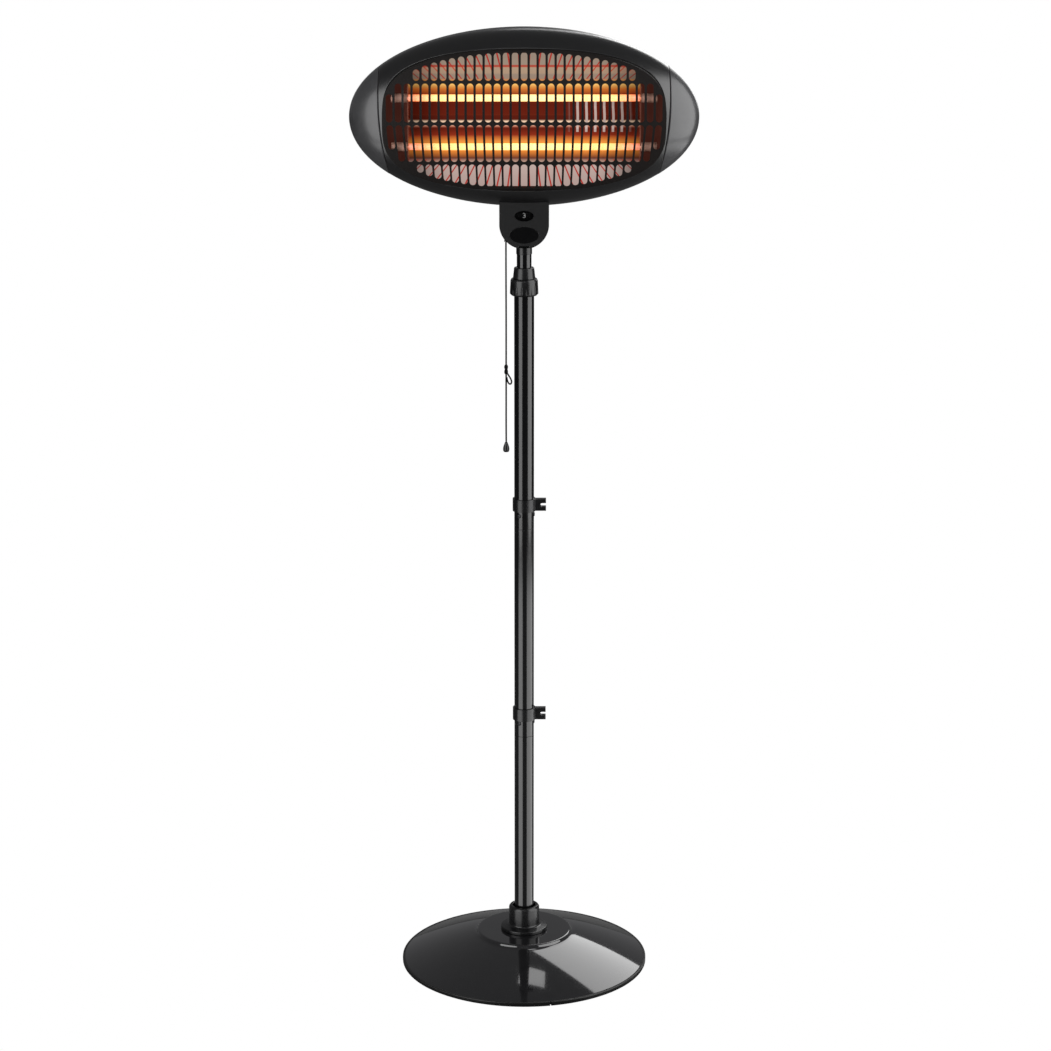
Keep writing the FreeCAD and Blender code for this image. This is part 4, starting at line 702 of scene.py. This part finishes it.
def dome_point(x, z):
    """The place on the front dome, in metres, at a distance across and up from its middle in mm."""
    inside = max(0.0, 1 - (x / HEAD_HALF[0]) ** 2 - (z / HEAD_HALF[1]) ** 2)
    y = RIM_Y - FRONT_DEPTH * math.sqrt(inside)
    return (x / MM_PER_M, y / MM_PER_M, (HEAD_Z + z) / MM_PER_M)


def opening_point(turn):
    """A point on the edge of the bezel's opening, which is a squared oval."""
    c, s = math.cos(turn), math.sin(turn)
    return (OPENING_HALF[0] * math.copysign(abs(c) ** (2 / OPENING_POWERS[0]), c),
            OPENING_HALF[1] * math.copysign(abs(s) ** (2 / OPENING_POWERS[1]), s))


def seam_x(z, grow):
    """How far the seam lies from the middle at a height, on the right."""
    return SEAM_REACH - SEAM_RADIUS + math.sqrt((SEAM_RADIUS + grow) ** 2 - (z - SEAM_RISE) ** 2)


def rim_x(z):
    """How far the head's rim lies from the middle at a height."""
    return HEAD_HALF[0] * math.sqrt(1 - (z / HEAD_HALF[1]) ** 2)


def outer_reach(x, z):
    """How far out along a ray the frame goes: to the rim, or to the seam of an end cap."""
    rim = 1 / math.hypot(x / HEAD_HALF[0], z / HEAD_HALF[1])
    low, high = 1.0, rim
    if seam_x(z * rim, -SEAM_GAP / 2) > abs(x) * rim:
        return rim
    for _ in range(REACH_HALVINGS):
        middle = (low + high) / 2
        if seam_x(z * middle, -SEAM_GAP / 2) > abs(x) * middle:
            low = middle
        else:
            high = middle
    return low


def pressed_shell(name, points, faces, finish, slot, node):
    """A sheet that faces the front, with its wall inwards, in place of a CAD node on the head."""
    piece = piece_of(name, points, faces, finish)
    if sum(face.normal.y * face.area for face in piece.data.polygons) > 0:
        piece.data.flip_normals()
    wall = piece.modifiers.new("wall", "SOLIDIFY")
    wall.thickness = SHELL_WALL / MM_PER_M
    wall.offset = -1.0
    return stand_for(piece, "head", slot, node)


frame_points, frame_faces = [], []
for turn_step in range(FRAME_TURNS):
    inner = opening_point(2 * math.pi * turn_step / FRAME_TURNS)
    reach = outer_reach(*inner)
    for band in range(FRAME_BANDS + 1):
        scale = 1 + (reach - 1) * band / FRAME_BANDS
        frame_points.append(dome_point(inner[0] * scale, inner[1] * scale))
for turn_step in range(FRAME_TURNS):
    after = (turn_step + 1) % FRAME_TURNS
    for band in range(FRAME_BANDS):
        row, beside = turn_step * (FRAME_BANDS + 1) + band, after * (FRAME_BANDS + 1) + band
        frame_faces.append((row, beside, beside + 1, row + 1))
pressed_shell("front_frame", frame_points, frame_faces, bezel_skin, "bezel_lacquer", "front_bezel")


def cap_ends():
    """How far below and above the middle the seam meets the rim."""
    ends = []
    for sign in (-1, 1):
        low, high = 0.0, HEAD_HALF[1]
        for _ in range(RIM_HALVINGS):
            middle = (low + high) / 2
            if seam_x(sign * middle, SEAM_GAP / 2) < rim_x(middle):
                low = middle
            else:
                high = middle
        ends.append(sign * low)
    return ends


cap_bottom, cap_top = cap_ends()
for cap_name, cap_node, side in (("cap_left", "left_end_cap", -1), ("cap_right", "right_end_cap", 1)):
    cap_points, cap_faces = [], []
    for cap_row in range(CAP_ROWS + 1):
        share = (1 - math.cos(math.pi * cap_row / CAP_ROWS)) / 2
        z = cap_bottom + (cap_top - cap_bottom) * share
        near = seam_x(z, SEAM_GAP / 2)
        far = max(near, rim_x(z))
        for column in range(CAP_COLUMNS + 1):
            run = math.sin(math.pi / 2 * column / CAP_COLUMNS)
            cap_points.append(dome_point(side * (near + (far - near) * run), z))
    for cap_row in range(CAP_ROWS):
        for column in range(CAP_COLUMNS):
            spot = cap_row * (CAP_COLUMNS + 1) + column
            cap_faces.append((spot, spot + 1, spot + CAP_COLUMNS + 2, spot + CAP_COLUMNS + 1))
    pressed_shell(cap_name, cap_points, cap_faces, cap_skin, "cap_lacquer", cap_node)
dress(bezel_skin, "rear_shell")


# Heating face: two quartz tubes with glowing coils in ceramic caps, carried by end brackets in
# front of a polished aluminium reflector that throws their glow forwards.
# The caps are white ceramic; their reddish brown base colour is painted red glow from the coils.
ceramic = coated("white_ceramic", (0.36, 0.19, 0.14), rough=0.5, grain=300.0, bump=0.1)
GLOW_HALF = 0.212
SPECK_SCALE = 160.0
SPECK_DETAIL = 2.0
SPECK_SHIFT = 0.05
HOT_ROUGH = 0.12
HOT_ROUGH_SPREAD = 0.1


def glowing(name, stops, strength, colour):
    """A finish whose glow changes from the middle of its length to its ends: the own glow of hot tubes and
    coils, or painted glow.
    """
    material, sockets, place = new_finish(name)
    speck = place.noise(SPECK_SCALE, SPECK_DETAIL)
    share = abs(place.axis("X")) / GLOW_HALF + (speck - 0.5) * SPECK_SHIFT
    place.feed(sockets["Emission Color"], place.node("ShaderNodeValToRGB", {"stops": stops}, {0: share}))
    place.feed(sockets["Roughness"], HOT_ROUGH + speck * HOT_ROUGH_SPREAD)
    sockets["Base Color"].default_value = colour
    sockets["Emission Strength"].default_value = strength
    return material


QUARTZ_COLOUR = (0.5, 0.42, 0.35, 1)
WIRE_COLOUR = (0.3, 0.25, 0.2, 1)
# Reddish base colour of the brackets and chassis plate: painted red light from the tubes.
BRACKET_PAINTED_RED_LIGHT = (0.13, 0.055, 0.04, 1)
UPPER_HEAT = [(0.0, (1.0, 0.74, 0.25)), (0.70, (1.0, 0.58, 0.15)), (0.90, (0.85, 0.16, 0.025)),
              (1.0, (0.05, 0.005, 0.0))]
LOWER_HEAT = [(0.0, (1.0, 0.74, 0.22)), (0.70, (1.0, 0.52, 0.10)), (0.90, (0.80, 0.13, 0.02)),
              (1.0, (0.05, 0.005, 0.0))]
WIRE_HEAT = [(0.0, (1.0, 0.80, 0.40)), (0.85, (1.0, 0.45, 0.10)), (1.0, (0.2, 0.02, 0.0))]
# Painted glow near the ends of the brackets and chassis plate, which are no lamps.
BRACKET_PAINTED_GLOW = [(0.0, (0.0, 0.0, 0.0)), (0.88, (0.0, 0.0, 0.0)), (0.95, (0.055, 0.014, 0.008)),
                (1.0, (0.035, 0.009, 0.006))]
upper_glow = glowing("quartz_upper", UPPER_HEAT, strength=1.5, colour=QUARTZ_COLOUR)
lower_glow = glowing("quartz_lower", LOWER_HEAT, strength=1.4, colour=QUARTZ_COLOUR)
coil_glow = glowing("hot_wire", WIRE_HEAT, strength=6.0, colour=WIRE_COLOUR)
painted_glow_metal = glowing("aluminium_painted_glow", BRACKET_PAINTED_GLOW, strength=1.0, colour=BRACKET_PAINTED_RED_LIGHT)
dress(ceramic, "ceramic_caps")
dress(upper_glow, "upper_quartz_tube")
dress(lower_glow, "lower_quartz_tube")
dress(coil_glow, "upper_heating_coil", "lower_heating_coil")
# The brackets and chassis plate carry painted glow and a painted reddish tint.
dress(painted_glow_metal, "left_element_bracket", "right_element_bracket", "chassis_plate")


# Reflector: a sheet of polished aluminium folded into two troughs behind the tubes. Its emission carries
# painted
# reflections: the tubes' glow in rows from bottom to top, red images of the grille's bars, pale streaks on
# the right.
MIRROR_DARK = (0.05, 0.035, 0.03, 1)
MIRROR_PALE = (0.07, 0.05, 0.042, 1)
MIRROR_GRAIN = 220.0
MIRROR_DETAIL = 3.0
MIRROR_ROUGH = 0.05
MIRROR_ROUGH_SPREAD = 0.05
REFLECTOR_LOW = 1.483
REFLECTOR_HIGH = 1.717
# Painted reflection of the tubes' glow, row by row up the reflector.
ROW_PAINTED_REFLECTION = [
    (0.0, (0.42, 0.31, 0.28)), (0.16, (0.52, 0.39, 0.35)), (0.20, (0.10, 0.015, 0.008)),
    (0.25, (0.85, 0.26, 0.04)), (0.30, (1.0, 0.36, 0.06)), (0.36, (0.30, 0.03, 0.01)),
    (0.425, (0.09, 0.010, 0.005)), (0.44, (0.45, 0.16, 0.10)), (0.46, (0.90, 0.60, 0.42)),
    (0.485, (0.95, 0.66, 0.45)), (0.50, (0.10, 0.012, 0.006)), (0.60, (0.12, 0.012, 0.005)),
    (0.68, (0.26, 0.03, 0.008)), (0.715, (0.55, 0.14, 0.02)), (0.755, (1.0, 0.58, 0.16)),
    (0.785, (0.60, 0.22, 0.06)), (0.80, (0.32, 0.23, 0.17)), (0.885, (0.33, 0.25, 0.19)),
    (0.892, (0.42, 0.05, 0.03)), (0.902, (0.42, 0.05, 0.03)), (0.909, (0.33, 0.25, 0.19)),
    (1.0, (0.30, 0.23, 0.18))]
END_FADE = (0.205, 0.12)
END_DIM = 0.4
TOP_ROW_FROM = 0.795
BOTTOM_ROW_TO = 0.19
# Painted red reflections of the grille's bars, fanned in the top and bottom rows.
BAR_PAINTED_REFLECTION = (0.40, 0.03, 0.02, 1)
BAR_PITCH = 0.0157
BAR_FAN = 6.0
FAN_TOP = 1.68
FAN_BOTTOM = 1.52
LINE_HALF = 0.075
# Painted pale highlight streaks on the right of the reflector.
STREAK_PAINTED_HIGHLIGHT = (0.50, 0.38, 0.34, 1)
STREAK_HALF = 0.36
STREAK_SIDES = (0.075, 0.095, 0.178, 0.192)
STREAK_ROW = 0.505
STREAK_ROW_HALF = 0.115


def bar_turn(place):
    """How far a place lies from the middle of a painted bar reflection, as a share of the bars' pitch."""
    return abs(place.sum("FRACT", place / BAR_PITCH) - 0.5)


mirror, mirror_sockets, mirror_place = new_finish("mirror_aluminium")
mirror_grain = mirror_place.noise(MIRROR_GRAIN, MIRROR_DETAIL)
mirror_place.feed(mirror_sockets["Base Color"], mirror_place.mix(mirror_grain, MIRROR_DARK, MIRROR_PALE))
mirror_place.feed(mirror_sockets["Roughness"], MIRROR_ROUGH + mirror_grain * MIRROR_ROUGH_SPREAD)
mirror_sockets["Metallic"].default_value = 1.0
across = mirror_place.axis("X")
upward = mirror_place.axis("Z")
rise_share = (upward - REFLECTOR_LOW) / (REFLECTOR_HIGH - REFLECTOR_LOW)
painted_row_reflection = mirror_place.node("ShaderNodeValToRGB", {"stops": ROW_PAINTED_REFLECTION}, {0: rise_share})
fan_high = across / (1 + (upward - FAN_TOP) * BAR_FAN)
fan_low = across / (1 - (upward - FAN_BOTTOM) * BAR_FAN)
# Mask of the painted bar reflections.
painted_bar_reflection = ((bar_turn(fan_high) < LINE_HALF) * (rise_share > TOP_ROW_FROM)
             + (bar_turn(fan_low) < LINE_HALF) * (rise_share < BOTTOM_ROW_TO))
barred = mirror_place.mix(painted_bar_reflection, painted_row_reflection, BAR_PAINTED_REFLECTION)
streak_zone = across.smooth_step(*STREAK_SIDES[:2]) - across.smooth_step(*STREAK_SIDES[2:])
streak_rows = abs(rise_share - STREAK_ROW) < STREAK_ROW_HALF
# Mask of the painted highlight streaks.
painted_streaks = (bar_turn(across) > STREAK_HALF) * streak_rows * streak_zone
streaked = mirror_place.mix(painted_streaks, barred, STREAK_PAINTED_HIGHLIGHT)
# The painted reflections dim towards the ends.
end_fade = abs(across).smooth_step(*END_FADE, low=END_DIM)
faded = mirror_place.mix(1.0, streaked, end_fade, blend="MULTIPLY")
# All the painted reflections go into the emission colour.
mirror_place.feed(mirror_sockets["Emission Color"], faded)
mirror_sockets["Emission Strength"].default_value = 1.0
dress(mirror, "reflector")


# Grille: a bowed steel sheet pierced by four rows of slots, the lower two leaning, with a side wall
# that sits in the bezel's opening, in heatproof matt black.
grille_skin = coated("grille_black", (0.006, 0.0045, 0.004), rough=0.5, grain=300.0,
                     bump=0.1, bump_scale=1500.0, Specular_IOR_Level=0.2)
dress(grille_skin, "grille", "grille_band")
